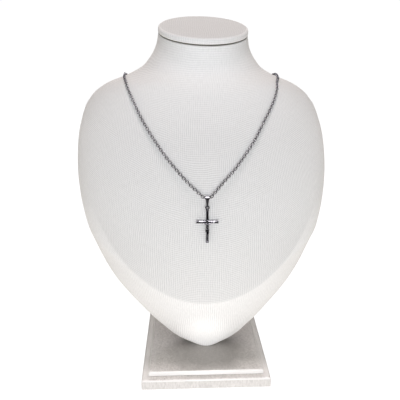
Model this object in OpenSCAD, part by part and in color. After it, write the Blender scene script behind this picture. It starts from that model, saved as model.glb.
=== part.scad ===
// Crucifix pendant on a cable chain, laid on the fabric covered neck bust that shows it.
// X runs across the bust, Y from its front to its back and Z up, in millimetres.
// The origin is the middle of the base's underside, where the stand rests on a table.

/* [Base] */
// Side of the square lower plate
plate_side = 118; // [112:1:130]
// Height of the lower plate
plate_h = 9.6; // [8:0.2:14]
// Side of the square upper panel
panel_side = 106; // [96:1:110]
// Height of the upper panel
panel_h = 4; // [3:0.2:6]
// Rounding of the slabs' upper edges
edge_r = 1.8; // [1:0.1:2.4]
// Clear gap left between pieces that lie on each other
gap = 0.15; // [0.1:0.01:0.3]

/* [Support post] */
// Width of the hidden post behind the bust
post_w = 26; // [20:1:34]
// Depth of the hidden post
post_d = 13; // [10:1:16]
// Distance of the post's front from the middle of the base
post_y = 18; // [16:1:22]

/* [Neck cap] */
// Radius of the round cap on the neck
cap_r = 41.7; // [41.2:0.1:43]
// Thickness of the cap
cap_h = 5; // [4:0.2:8]
// Rounding of the cap's upper edge
cap_edge_r = 2.4; // [1:0.1:3]
// Forward tilt of the cap and of the neck's top
cap_tilt = 17.7; // [15:0.1:20]
// Sideways tilt of the cap
cap_roll = 1.5; // [0:0.1:2]
// Thickness of the bare board that shows as a dark seam under the cap
seam_h = 0.8; // [0.5:0.1:1.2]
// How far that board stands back from the cap's edge
seam_inset = 0.9; // [0.6:0.1:1.5]

/* [Chain] */
// Outer length of a link
link_l = 3.6; // [3.5:0.05:4]
// Outer width of a link
link_w = 2.7; // [2.6:0.1:2.9]
// Diameter of a link's wire
wire_d = 0.6; // [0.5:0.05:0.65]
// Least clear gap between links
link_gap = 0.2; // [0.15:0.01:0.25]
// Length of the plain clasp's barrel
clasp_l = 7; // [6:0.5:9]
// Diameter of the clasp's barrel
clasp_d = 2.4; // [2.2:0.1:3]
// Outer diameter of the clasp's two eyes
clasp_eye_d = 3.8; // [3.6:0.1:4]
// Wire diameter of the clasp's eyes
clasp_wire_d = 0.8; // [0.7:0.05:0.9]

/* [Pendant] */
// Reach of the upright above the arms
cross_up = 10.5; // [9:0.1:12]
// Reach of the upright below the arms
cross_down = 17.8; // [17:0.1:21]
// Reach of each arm
cross_arm = 9.3; // [8:0.1:11]
// Distance from the crossing of the bars up to the chain inside the bail
chain_rise = 19.9; // [19.5:0.1:21]
// Diameter of the round bars
bar_d = 2.2; // [2:0.1:2.4]
// Diameter of the end caps
end_d = 2.9; // [2.7:0.1:3.1]
// Outer diameter of the eye soldered on the cross
eye_d = 3.8; // [3.6:0.1:4]
// Wire diameter of the eye
eye_wire_d = 0.95; // [0.9:0.01:1]
// Thickness of the bail's strip
strip_t = 0.45; // [0.4:0.01:0.5]
// Width of the bail's strip at its top
bail_top_w = 3.3; // [3:0.1:3.6]
// Width of the bail's strip at its lower end
bail_low_w = 1; // [0.8:0.1:1.1]

/* [Hidden] */

// Heights and places that follow from the driving sizes.
panel_top = plate_h + gap + panel_h;
foot_z = panel_top + 0.25;
neck_top = 309;
neck_y = 48;
tilt_from = 258;
foot_back = 2;
back_lean = 0.29;

// The bust is a loft of flat sections. The front half of each is an ellipse, the back half is flat.
// Columns: height, shift = sideways shift of the section, half = half width, front = y of the chest's
// front, side = y of the widest place, back = y of the flat back. A row for each bend of the outline.
SECTIONS = [
    [foot_z, 2.0, 11.0, -30.0, -11.0, 2.0],
    [20, 1.8, 24.0, -33.0, -10.0, 3.7],
    [34, 1.4, 43.2, -37.5, -6.0, 7.8],
    [54, 1.0, 64.5, -40.5, 0.0, 13.6],
    [78, 0.5, 85.5, -42.3, 6.5, 20.6],
    [108, 0.3, 103.3, -43.5, 15.0, 29.3],
    [140, 0.1, 114.6, -42.7, 24.5, 38.5],
    [168, -0.2, 119.8, -39.2, 32.5, 46.7],
    [196, -0.5, 121.0, -33.2, 41.0, 54.8],
    [230, -1.1, 116.2, -20.5, 50.5, 64.6],
    [248, -1.6, 108.5, -11.0, 53.5, 69.9],
    [259, -2.0, 98.0, -5.0, 53.5, 73.8],
    [266, -2.0, 85.6, -1.0, 52.0, 77.0],
    [271, -1.2, 71.8, 1.5, 51.0, 79.6],
    [277, -0.3, 59.6, 4.0, 50.0, 82.8],
    [287, 0.3, 49.5, 6.3, 49.0, 87.0],
    [298, 0.6, 43.6, 7.0, 48.3, 89.0],
    [neck_top, 0.8, 41.4, 6.8, neck_y, 89.2]
];

// Under the chest a band slopes back to the foot, and the two meet in a soft crease.
band_front = -16;
band_slope = 0.413;
band_power = 1.6;
crease_blend = 1.5;
band_fade_from = 100;
band_fade_to = 150;
back_power = 6;
back_round_from = 240;
back_round_to = 285;

// Heights of the loft's rings, closer together at the crease and in the hollow of the neck.
RING_STEPS = [[foot_z, 50, 9], [50, 110, 15], [110, 230, 12], [230, 254, 5], [254, 286, 12],
    [286, neck_top, 5]];
ring_sides = 52;

// Route of the chain over the bust. Columns: stage of the route, right and left = turn round the
// section from its front to each side, height. It crosses the shoulders and hangs across the back.
// The row before stage 0 is the other side's, so both sides meet in one smooth bend at the bail.
CHAIN_ROUTE = [
    [-0.5, -0.9, -1.95, 175.9],
    [0, 0.55, -0.55, 174.9],
    [0.5, 1.95, 0.9, 175.9],
    [1, 3.25, 2.5, 178.8],
    [2, 7.1, 7.1, 188],
    [3, 11.8, 11.5, 198],
    [4, 15.9, 15.7, 208],
    [5, 20.4, 19.9, 219],
    [6, 24.7, 24.3, 230],
    [7, 29.3, 28.4, 240],
    [8, 35.1, 33.2, 250],
    [9, 43, 40.6, 259.5],
    [10, 55, 53.5, 266.8],
    [11, 81, 79, 270.7],
    [12, 103, 102, 270.2],
    [13, 126, 125, 268],
    [14, 145, 145, 264.5],
    [15, 162, 162, 262.2],
    [16, 180, 180, 261.5]
];
chain_clear = link_w / 2 + 0.16;
link_fn = 40;
near_bail = 1.5;
route_step = 1 / 30;

// The pendant lies along a line between its lower end and the chain inside the bail.
pend_low_z = 138.3;
pend_low_turn = 0.35;
pend_low_clear = end_d / 2 + gap;
bail_r = link_w / 2 + gap;
pend_top_clear = bail_r + strip_t + gap;
eye_sink = 0.15;

function ramp(x, a, b) = let (t = min(max((x - a) / (b - a), 0), 1)) t * t * (3 - 2 * t);
function soft_min(a, b, r) = let (m = max(r - abs(a - b), 0)) min(a, b) - m * m / (4 * r);
function mix(a, b, t) = a + (b - a) * t;
function unit(v) = v / norm(v);
function power(base, exponent) = base <= 0 ? 0 : pow(base, exponent);

// A smooth curve through the rows of a table, by height.
function row_below(table, x, i = 0) =
    i >= len(table) - 2 || table[i + 1][0] > x ? i : row_below(table, x, i + 1);
function row_slope(table, col, i) =
    let (last = len(table) - 1, a = max(i - 1, 0), b = min(i + 1, last))
    i == 0 || i == last
        ? (table[b][col] - table[a][col]) / (table[b][0] - table[a][0])
        : let (w1 = table[i][0] - table[a][0], w2 = table[b][0] - table[i][0],
               d1 = (table[i][col] - table[a][col]) / w1, d2 = (table[b][col] - table[i][col]) / w2)
          (d1 * w2 + d2 * w1) / (w1 + w2);
function smooth(table, col, x) =
    let (i = row_below(table, x), w = table[i + 1][0] - table[i][0], t = (x - table[i][0]) / w,
         t2 = t * t, t3 = t2 * t)
    (2 * t3 - 3 * t2 + 1) * table[i][col] + (t3 - 2 * t2 + t) * w * row_slope(table, col, i)
        + (3 * t2 - 2 * t3) * table[i + 1][col] + (t3 - t2) * w * row_slope(table, col, i + 1);
function section(h) = [h, for (col = [1:5]) smooth(SECTIONS, col, h)];

// A point of the bust's skin, on section s at a turn round it, 0 at the front and 180 at the back.
function front_depth(s, c) =
    let (h = s[0], chest = (s[4] - s[3]) * c,
         fade = ramp(h, band_fade_from, band_fade_to),
         band = (s[4] - band_front + band_slope * (h - foot_z)) * power(c, mix(band_power, 1, fade)))
    soft_min(chest, band, crease_blend);
function back_shape(h) = 2 / mix(back_power, 2, ramp(h, back_round_from, back_round_to));
function skin(s, turn) =
    let (h = s[0], sn = sin(turn), cs = cos(turn), e = back_shape(h), on_front = cs >= -0.000001,
         x = on_front ? s[2] * sn : s[2] * sign(sn) * power(abs(sn), e),
         y = on_front ? s[4] - front_depth(s, max(cs, 0)) : s[4] + (s[5] - s[4]) * power(-cs, e),
         lean = ramp(h, tilt_from, neck_top))
    [s[1] + x, y, h + lean * ((y - neck_y) * tan(cap_tilt) - x * tan(cap_roll))];
function skin_normal(h, turn, d = 0.2) =
    let (up = skin(section(h + d), turn) - skin(section(h - d), turn),
         round = skin(section(h), turn + d) - skin(section(h), turn - d))
    unit(cross(round, up));

// The pendant's line, from a point near its lower end up to the chain inside the bail.
function chest_point(h, turn, clear) = skin(section(h), turn) + skin_normal(h, turn) * clear;
pend_low = chest_point(pend_low_z, pend_low_turn, pend_low_clear);
pend_top = chest_point(smooth(CHAIN_ROUTE, 3, 0), smooth(CHAIN_ROUTE, 1, 0), pend_top_clear);
// Places along that line, measured from the crossing of the bars.
eye_at = cross_up + eye_d / 2 - eye_sink;
bail_low_r = 0.68;
bail_low_at = eye_at + 0.62 + bail_low_r;

// The chain's middle line on each side, from the bail round to the clasp: side 1 right, -1 left.
SIDES = [1, -1];
last_stage = CHAIN_ROUTE[len(CHAIN_ROUTE) - 1][0];
function route_turn(stage, w) = SIDES[w] * smooth(CHAIN_ROUTE, 1 + w, stage);
function route_out(stage, w) = skin_normal(smooth(CHAIN_ROUTE, 3, stage), route_turn(stage, w));
function route_point(stage, w) =
    let (lift = mix(pend_top_clear, chain_clear, ramp(stage, 0, near_bail)))
    skin(section(smooth(CHAIN_ROUTE, 3, stage)), route_turn(stage, w)) + route_out(stage, w) * lift;
ROUTES = [for (w = [0, 1]) [for (stage = [0:route_step:last_stage]) route_point(stage, w)]];
function lengths(pts, i = 0, sum = 0, out = []) =
    i == len(pts) ? out
        : let (next = i == 0 ? 0 : sum + norm(pts[i] - pts[i - 1]))
          lengths(pts, i + 1, next, concat(out, [next]));
LENGTHS = [for (route = ROUTES) lengths(route)];
last_point = len(ROUTES[0]) - 1;
function route_len(w) = LENGTHS[w][last_point];
function index_at(s, w, low, high) =
    high - low <= 1 ? low
        : let (mid = floor((low + high) / 2))
          LENGTHS[w][mid] > s ? index_at(s, w, low, mid) : index_at(s, w, mid, high);
function place_at(s, w) =
    let (i = index_at(s, w, 0, last_point)) [i, (s - LENGTHS[w][i]) / (LENGTHS[w][i + 1] - LENGTHS[w][i])];
function along(s, w) =
    let (p = place_at(s, w)) mix(ROUTES[w][p[0]], ROUTES[w][p[0] + 1], p[1]);
function stage_along(s, w) = let (p = place_at(s, w)) min((p[0] + p[1]) * route_step, last_stage);

// The clasp's eyes hold the last link of each side, and the links share the rest of the route.
// Their count is odd, so the last link stands on edge and passes through its eye.
clasp_eye_at = clasp_l / 2 + clasp_eye_d / 2 - 0.3;
clasp_hold = clasp_eye_at + clasp_eye_d / 2 - clasp_wire_d - link_gap + link_l / 2 - wire_d;
widest_pitch = link_l - 2 * wire_d - link_gap;
function links_on(w) = 2 * ceil(((route_len(w) - clasp_hold) / widest_pitch - 1) / 2) + 1;
function pitch(w) = (route_len(w) - clasp_hold) / links_on(w);

base_plate_color = "gainsboro";
fabric_color = "whitesmoke";
steel_color = "silver";

// A slab whose four upper edges are rounded.
module rounded_face(side, h, r) {
    translate([-side / 2, 0]) square([side, h - r]);
    translate([r - side / 2, h - r]) square([side - 2 * r, r]);
    for (x = [-1, 1]) translate([x * (side / 2 - r), h - r]) circle(r, $fn = 48);
}
module covered_slab(side, h, r) {
    intersection() {
        translate([0, side / 2, 0]) rotate([90, 0, 0]) linear_extrude(side) rounded_face(side, h, r);
        translate([-side / 2, 0, 0]) rotate([90, 0, 90]) linear_extrude(side) rounded_face(side, h, r);
    }
}
module base_plate() {
    color(base_plate_color) covered_slab(plate_side, plate_h, edge_r);
}
module base_panel() {
    color(base_plate_color) translate([0, 0, plate_h + gap]) covered_slab(panel_side, panel_h, edge_r);
}

// The post is cut off along the bust's leaning back.
module support_post() {
    z0 = panel_top + gap;
    far = post_y + post_d;
    clear = 0.4;
    color(fabric_color)
    translate([-post_w / 2, 0, 0]) rotate([90, 0, 90]) linear_extrude(post_w)
        polygon([
            [post_y, z0], [far, z0],
            [far, foot_z + (far - foot_back) / back_lean - clear / back_lean],
            [post_y, foot_z + (post_y - foot_back) / back_lean - clear / back_lean]
        ]);
}

// Ring after ring of the loft, joined into one closed skin.
module bust_body() {
    heights = [
        for (span = RING_STEPS, i = [0:span[2] - 1]) mix(span[0], span[1], i / span[2]),
        neck_top
    ];
    n = ring_sides;
    rings = len(heights);
    points = [
        for (h = heights) let (s = section(h)) for (k = [0:n - 1]) skin(s, k * 360 / n)
    ];
    walls = [
        for (j = [0:rings - 2], k = [0:n - 1])
            let (a = j * n + k, b = j * n + (k + 1) % n)
            each [[a, a + n, b + n], [a, b + n, b]]
    ];
    bottom = [for (k = [0:n - 1]) k];
    top = [for (k = [n - 1:-1:0]) (rings - 1) * n + k];
    color(fabric_color) polyhedron(points, concat(walls, [bottom, top]));
}

// Pieces on the neck's tilted top are drawn on its plane.
module on_neck_top(rise) {
    top = SECTIONS[len(SECTIONS) - 1];
    translate([top[1], neck_y, neck_top]) rotate([cap_tilt, cap_roll, 0]) translate([0, 0, rise]) children();
}
module cap_seam() {
    color("darkolivegreen") on_neck_top(gap) cylinder(h = seam_h, r = cap_r - seam_inset, $fn = 96);
}
module neck_cap() {
    color(fabric_color) on_neck_top(seam_h + 2 * gap) rotate_extrude($fn = 96) {
        square([cap_r, cap_h - cap_edge_r]);
        square([cap_r - cap_edge_r, cap_h]);
        translate([cap_r - cap_edge_r, cap_h - cap_edge_r]) intersection() {
            circle(cap_edge_r, $fn = 48);
            square(cap_edge_r);
        }
    }
}

// An oval link lying flat, its length along X.
module link() {
    bend_r = (link_w - wire_d) / 2;
    straight = link_l - link_w;
    for (end = [-1, 1])
        translate([end * straight / 2, 0, 0]) rotate([0, 0, end > 0 ? -90 : 90])
            rotate_extrude(angle = 180, $fn = link_fn)
                translate([bend_r, 0]) circle(d = wire_d, $fn = link_fn);
    for (side = [-1, 1])
        translate([-straight / 2, side * bend_r, 0]) rotate([0, 90, 0])
            cylinder(h = straight, d = wire_d, $fn = link_fn);
}

// Puts a child's X along the tangent and its Z away from the bust.
module in_frame(origin, tangent, out) {
    x = unit(tangent);
    y = unit(cross(out, x));
    z = cross(x, y);
    multmatrix([
        [x[0], y[0], z[0], origin[0]],
        [x[1], y[1], z[1], origin[1]],
        [x[2], y[2], z[2], origin[2]]
    ]) children();
}
module chain_half(w, first) {
    reach = link_l / 2;
    color(steel_color) for (k = [first:links_on(w)]) {
        s = k * pitch(w);
        before = k == 0 ? along(reach, 1 - w) : along(s - reach, w);
        in_frame(along(s, w), along(s + reach, w) - before, route_out(stage_along(s, w), w))
            rotate([k % 2 == 1 ? 90 : 0, 0, 0]) link();
    }
}
module chain_left() {
    chain_half(1, 1);
}
module chain_right() {
    chain_half(0, 0);
}

// A plain barrel with an eye at each end, at the back of the neck.
module clasp() {
    reach = 2;
    color(steel_color)
    in_frame(ROUTES[0][last_point], along(route_len(0) - reach, 0) - along(route_len(1) - reach, 1),
            route_out(last_stage, 0)) {
        rotate([0, 90, 0]) cylinder(h = clasp_l, d = clasp_d, center = true, $fn = 32);
        for (end = [-1, 1])
            translate([end * clasp_eye_at, 0, 0]) rotate_extrude($fn = link_fn)
                translate([(clasp_eye_d - clasp_wire_d) / 2, 0]) circle(d = clasp_wire_d, $fn = link_fn);
    }
}

// The outline of a strap that goes round a large and a small circle.
module strap_outline(r1, r2, dist) {
    s = (r1 - r2) / dist;
    c = sqrt(1 - s * s);
    circle(r1, $fn = 64);
    translate([0, -dist]) circle(r2, $fn = 64);
    polygon([[r1 * c, -r1 * s], [-r1 * c, -r1 * s], [-r2 * c, -dist - r2 * s], [r2 * c, -dist - r2 * s]]);
}

// Things of the pendant are drawn with X across, Y up the cross and Z away from the chest.
module on_pendant() {
    up = unit(pend_top - pend_low);
    across = unit(cross(up, [0, -1, 0]));
    in_frame(pend_top, across, cross(across, up)) translate([0, -chain_rise, 0]) children();
}
module bail() {
    dist = chain_rise - bail_low_at;
    top = chain_rise + bail_r + strip_t;
    low = bail_low_at - bail_low_r - strip_t;
    color(steel_color) on_pendant() intersection() {
        translate([-bail_top_w, chain_rise, 0]) rotate([0, 90, 0]) linear_extrude(2 * bail_top_w)
            difference() {
                strap_outline(bail_r + strip_t, bail_low_r + strip_t, dist);
                strap_outline(bail_r, bail_low_r, dist);
            }
        translate([0, 0, -5]) linear_extrude(10)
            polygon([
                [-bail_top_w / 2, top + 1], [bail_top_w / 2, top + 1],
                [bail_low_w / 2, low], [-bail_low_w / 2, low]
            ]);
    }
}

// The end of a bar, from its flat tip at the origin back along Z: a flared cap and a thin collar.
module bar_end() {
    r = end_d / 2;
    bar_r = bar_d / 2;
    rotate_extrude($fn = 28) polygon([
        [0, 0], [r - 0.2, 0], [r, 0.35], [r - 0.05, 0.8], [bar_r - 0.05, 1.15], [bar_r - 0.05, 1.4],
        [r - 0.15, 1.5], [r - 0.15, 1.9], [bar_r - 0.05, 2.05], [0, 2.05]
    ]);
}
module bar(reach_a, reach_b) {
    translate([0, 0, -reach_a]) cylinder(h = reach_a + reach_b, d = bar_d, $fn = 28);
    translate([0, 0, -reach_a]) bar_end();
    translate([0, 0, reach_b]) rotate([180, 0, 0]) bar_end();
}
module cross_bars() {
    rotate([-90, 0, 0]) bar(cross_down, cross_up);
    rotate([0, 90, 0]) bar(cross_arm, cross_arm);
    translate([0, eye_at, 0]) rotate_extrude($fn = 36)
        translate([eye_d / 2 - eye_wire_d / 2, 0]) circle(d = eye_wire_d, $fn = 12);
}

// Rounded forms of the figure: a ball squeezed to three radii, and a limb between two balls.
module ball(at, radii, fn = 14) {
    translate(at) scale(radii) sphere(1, $fn = fn);
}
module limb(a, ra, b, rb) {
    hull() {
        ball(a, [ra, ra, ra], 10);
        ball(b, [rb, rb, rb], 10);
    }
}
module joined(a, ra, b, rb) {
    hull() {
        ball(a, ra);
        ball(b, rb);
    }
}

// The head bows forward and to the left of the view. Its face is a plain one of even proportions.
module figure_head() {
    translate([-0.25, 0.95, 2.55]) rotate([16, 0, 14]) {
        ball([0, 0, 0], [0.78, 1.08, 0.88]);
        ball([0, 0.2, -0.28], [0.95, 1.08, 0.82]);
        joined([0, -0.75, 0.3], [0.5, 0.35, 0.42], [0, -1.05, 0.35], [0.22, 0.22, 0.25]);
        joined([0, 0.12, 0.82], [0.1, 0.1, 0.1], [0, -0.28, 0.95], [0.16, 0.1, 0.12]);
        joined([-0.36, 0.25, 0.72], [0.14, 0.08, 0.12], [0.36, 0.25, 0.72], [0.14, 0.08, 0.12]);
        for (side = [-1, 1])
            joined([side * 0.72, 0.1, -0.1], [0.25, 0.4, 0.4],
                [side * 0.68, -0.95, -0.1], [0.16, 0.25, 0.25]);
    }
}
module figure_arms() {
    for (side = [-1, 1]) {
        reach = side < 0 ? 6.0 : 6.3;
        limb([side * 1.5, -1.25, 1.95], 0.55, [side * 3.6, -0.65, 1.65], 0.4);
        limb([side * 3.6, -0.65, 1.65], 0.4, [side * (reach - 0.5), 0.1, 1.45], 0.28);
        joined([side * (reach - 0.5), 0.1, 1.45], [0.28, 0.26, 0.24],
            [side * (reach + 0.5), 0.35, 1.4], [0.3, 0.34, 0.2]);
    }
}
module figure_trunk() {
    joined([0, -1.75, 1.85], [1.6, 0.85, 0.75], [0, -3.1, 2.05], [1.35, 0.8, 0.85]);
    joined([0, -3.1, 2.05], [1.35, 0.8, 0.85], [0.1, -4.7, 1.85], [1.0, 0.5, 0.65]);
    joined([0.1, -4.7, 1.85], [1.0, 0.5, 0.65], [0.15, -6.2, 1.9], [1.25, 0.7, 0.75]);
    limb([-0.05, -1.1, 2.0], 0.5, [-0.15, 0.2, 2.35], 0.45);
}
module figure_cloth() {
    joined([0.1, -5.7, 1.9], [1.45, 0.35, 0.85], [0.15, -7.3, 2.05], [1.35, 0.6, 0.95]);
    joined([-1.3, -6.1, 2.1], [0.4, 0.4, 0.5], [-1.55, -8.2, 1.75], [0.35, 0.35, 0.4]);
}
module figure_legs() {
    for (side = [-1, 1]) {
        limb([0.15 + side * 0.6, -7.1, 2.0], 0.68, [0.2 + side * 0.48, -9.9, 2.55], 0.5);
        limb([0.2 + side * 0.48, -9.9, 2.55], 0.5, [0.15 + side * 0.25, -12.6, 1.85], 0.32);
    }
    joined([0.1, -12.7, 1.85], [0.5, 0.35, 0.4], [0.15, -13.9, 2.3], [0.38, 0.45, 0.32]);
    joined([-0.2, -14.7, 1.3], [0.4, 0.35, 0.5], [0.4, -14.7, 1.3], [0.4, 0.35, 0.5]);
}

// The cross with its end caps, the eye and the figure are soldered into one piece.
module crucifix() {
    color(steel_color) on_pendant() {
        cross_bars();
        figure_head();
        figure_arms();
        figure_trunk();
        figure_cloth();
        figure_legs();
    }
}

base_plate();
base_panel();
support_post();
bust_body();
cap_seam();
neck_cap();
chain_left();
chain_right();
clasp();
bail();
crucifix();
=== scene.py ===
"""Crucifix pendant necklace laid on its fabric covered neck bust.

Sizes and tables are in millimetres and degrees. MM turns millimetres into scene metres.
"""

import logging
import math
from dataclasses import dataclass
from enum import Enum
from typing import Callable, Optional, Sequence

import bmesh
import bpy
import numpy as np
from mathutils import Matrix, Vector


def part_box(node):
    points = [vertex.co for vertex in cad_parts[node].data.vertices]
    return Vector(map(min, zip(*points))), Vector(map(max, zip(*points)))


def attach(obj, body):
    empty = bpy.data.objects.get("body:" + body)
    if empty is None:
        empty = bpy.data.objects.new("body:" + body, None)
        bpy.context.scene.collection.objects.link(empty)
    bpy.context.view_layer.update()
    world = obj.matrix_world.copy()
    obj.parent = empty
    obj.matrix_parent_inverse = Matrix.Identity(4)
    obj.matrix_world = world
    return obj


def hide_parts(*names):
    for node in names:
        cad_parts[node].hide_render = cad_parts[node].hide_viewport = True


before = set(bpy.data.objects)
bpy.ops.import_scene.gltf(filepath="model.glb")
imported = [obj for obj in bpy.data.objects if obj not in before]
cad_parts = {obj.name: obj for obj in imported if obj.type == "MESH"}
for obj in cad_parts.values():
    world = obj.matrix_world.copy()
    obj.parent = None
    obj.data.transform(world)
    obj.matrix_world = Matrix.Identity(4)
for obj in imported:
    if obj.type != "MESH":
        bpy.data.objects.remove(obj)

MM = 0.001
BODY = "root"
TAU = 2 * math.pi
TOUCH = 1e-6
# Each point's share of painted light, and on the cloth also of painted shade, kept on the covers for their
# finishes.
PAINTED_LIGHT_SHADE = "painted_light_shade"
PRESSED = "weave_pressed"

Point = tuple[float, float, float]
Colour = tuple[float, float, float]
Span = tuple[float, float]
Array = np.ndarray
Piece = bpy.types.Object
Socket = bpy.types.NodeSocket
Material = bpy.types.Material
Inputs = dict[object, object]
Layout = Callable[[Array, Array], Array]

log = logging.getLogger("necklace")


class Slot(Enum):
    """Material slots of the record."""

    FABRIC = "fabric"
    LEATHERETTE = "leatherette"
    SEAM_BOARD = "seam_board"
    CHAIN_STEEL = "chain_steel"
    PENDANT_STEEL = "pendant_steel"


class Side(Enum):
    """Sides of the necklace, with the sign of X that each lies on."""

    RIGHT = 1
    LEFT = -1


# Modelling by hand, in the scene's own units


def deselect() -> None:
    """Leave nothing selected and no mesh in edit mode."""
    if bpy.context.object and bpy.context.object.mode != "OBJECT":
        bpy.ops.object.mode_set(mode="OBJECT")
    bpy.ops.object.select_all(action="DESELECT")


def pick(piece: Piece) -> Piece:
    """Select one piece alone and make it active.

    Args:
        piece: The piece to select.

    Returns:
        The same piece.
    """
    deselect()
    piece.select_set(True)
    bpy.context.view_layer.objects.active = piece
    return piece


def start(name: str, add: Callable[..., set], **sizes: object) -> Piece:
    """Add a primitive and name it.

    Args:
        name: Name of the new piece.
        add: The operator that adds the primitive.
        **sizes: The operator's sizes and place.

    Returns:
        The new piece, selected alone.
    """
    deselect()
    add(**sizes)
    piece = bpy.context.active_object
    piece.name = name
    piece.data.name = name
    return pick(piece)


def settle(piece: Piece) -> Piece:
    """Put a piece's place, turn and scale into its mesh.

    Args:
        piece: The mesh piece.

    Returns:
        The same piece.
    """
    pick(piece)
    bpy.ops.object.transform_apply(location=True, rotation=True, scale=True)
    return piece


def block(name: str, low: Vector, high: Vector) -> Piece:
    """Add a block between two corners in metres, to be shaped."""
    return settle(start(name, bpy.ops.mesh.primitive_cube_add, size=1, location=(low + high) / 2,
                        scale=high - low))


def disc(name: str, radius: float, height: float, steps: int) -> Piece:
    """Add an upright disc on the origin, its sizes in millimetres, to be shaped."""
    return settle(start(name, bpy.ops.mesh.primitive_cylinder_add, vertices=steps, radius=radius * MM,
                        depth=height * MM, location=(0, 0, height / 2 * MM)))


def wire_ring(name: str, width: float, wire: float, steps: int, sides: int, **place: object) -> Piece:
    """Model a closed ring of round wire.

    Args:
        name: Name of the piece.
        width: Its width over all in millimetres.
        wire: Its wire's thickness.
        steps: Faces along the wire.
        sides: Faces round the wire.
        **place: The operator's place and turn.

    Returns:
        The smooth ring.
    """
    piece = start(name, bpy.ops.mesh.primitive_torus_add, major_segments=steps, minor_segments=sides,
                  major_radius=(width - wire) / 2 * MM, minor_radius=wire / 2 * MM, **place)
    return smooth_faces(settle(piece), 180)


def place_all(piece: Piece, points: Array) -> None:
    """Move every vertex of a piece.

    Args:
        piece: The mesh piece.
        points: One row of three coordinates for each vertex, in metres.
    """
    piece.data.vertices.foreach_set("co", np.ascontiguousarray(points, dtype=np.float32).ravel())
    piece.data.update()


def points_of(piece: Piece) -> Array:
    """Give a piece's vertices as an array with a row for each.

    Args:
        piece: The mesh piece.

    Returns:
        One row of three coordinates for each vertex, in metres.
    """
    count = len(piece.data.vertices)
    points = np.empty(count * 3, dtype=np.float32)
    piece.data.vertices.foreach_get("co", points)
    return points.reshape(count, 3).astype(float)


def moved(piece: Piece, matrix: Matrix) -> Piece:
    """Carry a piece's mesh through a matrix.

    Args:
        piece: The mesh piece.
        matrix: The matrix, in metres.

    Returns:
        The same piece.
    """
    piece.data.transform(matrix)
    piece.data.update()
    return piece


def turn_about(axis: str, degrees: float) -> Matrix:
    """Give the matrix of a turn about X, Y or Z."""
    return Matrix.Rotation(math.radians(degrees), 4, axis)


def copy_of(model: Piece, matrix: Matrix) -> Piece:
    """Copy a piece with a mesh of its own and carry it through a matrix.

    Args:
        model: The piece to copy.
        matrix: The matrix, in metres.

    Returns:
        The copy.
    """
    copy = model.copy()
    copy.data = model.data.copy()
    bpy.context.collection.objects.link(copy)
    return moved(copy, matrix)


def edit_some(piece: Piece, kind: str, wanted: Callable[[object], bool]) -> None:
    """Enter edit mode with some parts of a piece selected.

    Args:
        piece: The mesh piece.
        kind: EDGE or FACE.
        wanted: Says of each edge or face whether it is selected.
    """
    pick(piece)
    bpy.ops.object.mode_set(mode="EDIT")
    bpy.ops.mesh.select_mode(type=kind)
    bpy.ops.mesh.select_all(action="DESELECT")
    mesh = bmesh.from_edit_mesh(piece.data)
    for part in mesh.edges if kind == "EDGE" else mesh.faces:
        part.select_set(wanted(part))
    bmesh.update_edit_mesh(piece.data)


def heights_of(part: object) -> list[float]:
    """Give the heights of an edge's or a face's corners in metres."""
    return [vert.co.z for vert in part.verts]


def is_upright(edge: bmesh.types.BMEdge) -> bool:
    """Tell an upright edge."""
    a, b = (vert.co for vert in edge.verts)
    return abs(a.x - b.x) < TOUCH and abs(a.y - b.y) < TOUCH


def round_edges(piece: Piece, wanted: Callable[[object], bool], width: float, steps: int) -> None:
    """Bevel some edges of a piece.

    Args:
        piece: The mesh piece.
        wanted: Says of each edge whether it is rounded.
        width: Width of the rounding in millimetres.
        steps: Faces across it.
    """
    edit_some(piece, "EDGE", wanted)
    bpy.ops.mesh.bevel(offset=width * MM, segments=steps, affect="EDGES")
    bpy.ops.object.mode_set(mode="OBJECT")


def edit_all(piece: Piece) -> None:
    """Enter edit mode with everything selected.

    Args:
        piece: The mesh piece.
    """
    pick(piece)
    bpy.ops.object.mode_set(mode="EDIT")
    bpy.ops.mesh.select_all(action="SELECT")


def close_mesh(piece: Piece) -> Piece:
    """Merge doubles, fill open ends and turn the faces outwards.

    Args:
        piece: The mesh piece.

    Returns:
        The same piece.
    """
    edit_all(piece)
    bpy.ops.mesh.remove_doubles(threshold=TOUCH)
    bpy.ops.mesh.fill_holes(sides=0)
    bpy.ops.mesh.normals_make_consistent(inside=False)
    bpy.ops.object.mode_set(mode="OBJECT")
    return piece


def smooth_faces(piece: Piece, angle: float = 35) -> Piece:
    """Shade a piece smooth apart from edges sharper than an angle in degrees.

    Args:
        piece: The mesh piece.
        angle: The least angle of an edge that stays sharp.

    Returns:
        The same piece.
    """
    pick(piece)
    bpy.ops.object.shade_smooth_by_angle(angle=math.radians(angle))
    return piece


def apply_modifier(piece: Piece, kind: str, **settings: object) -> Piece:
    """Add a modifier with its settings and apply it.

    Args:
        piece: The mesh piece.
        kind: The modifier's type.
        **settings: Its settings.

    Returns:
        The same piece.
    """
    pick(piece)
    modifier = piece.modifiers.new(kind.lower(), kind)
    for name, value in settings.items():
        setattr(modifier, name, value)
    bpy.ops.object.modifier_apply(modifier=modifier.name)
    return piece


def fuse(name: str, pieces: Sequence[Piece]) -> Piece:
    """Join pieces into one object.

    Args:
        name: Name of the joined piece.
        pieces: The pieces, of which the first is kept.

    Returns:
        The joined piece.
    """
    deselect()
    for piece in pieces:
        piece.select_set(True)
    bpy.context.view_layer.objects.active = pieces[0]
    bpy.ops.object.join()
    pieces[0].name = name
    pieces[0].data.name = name
    return pick(pieces[0])


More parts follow.
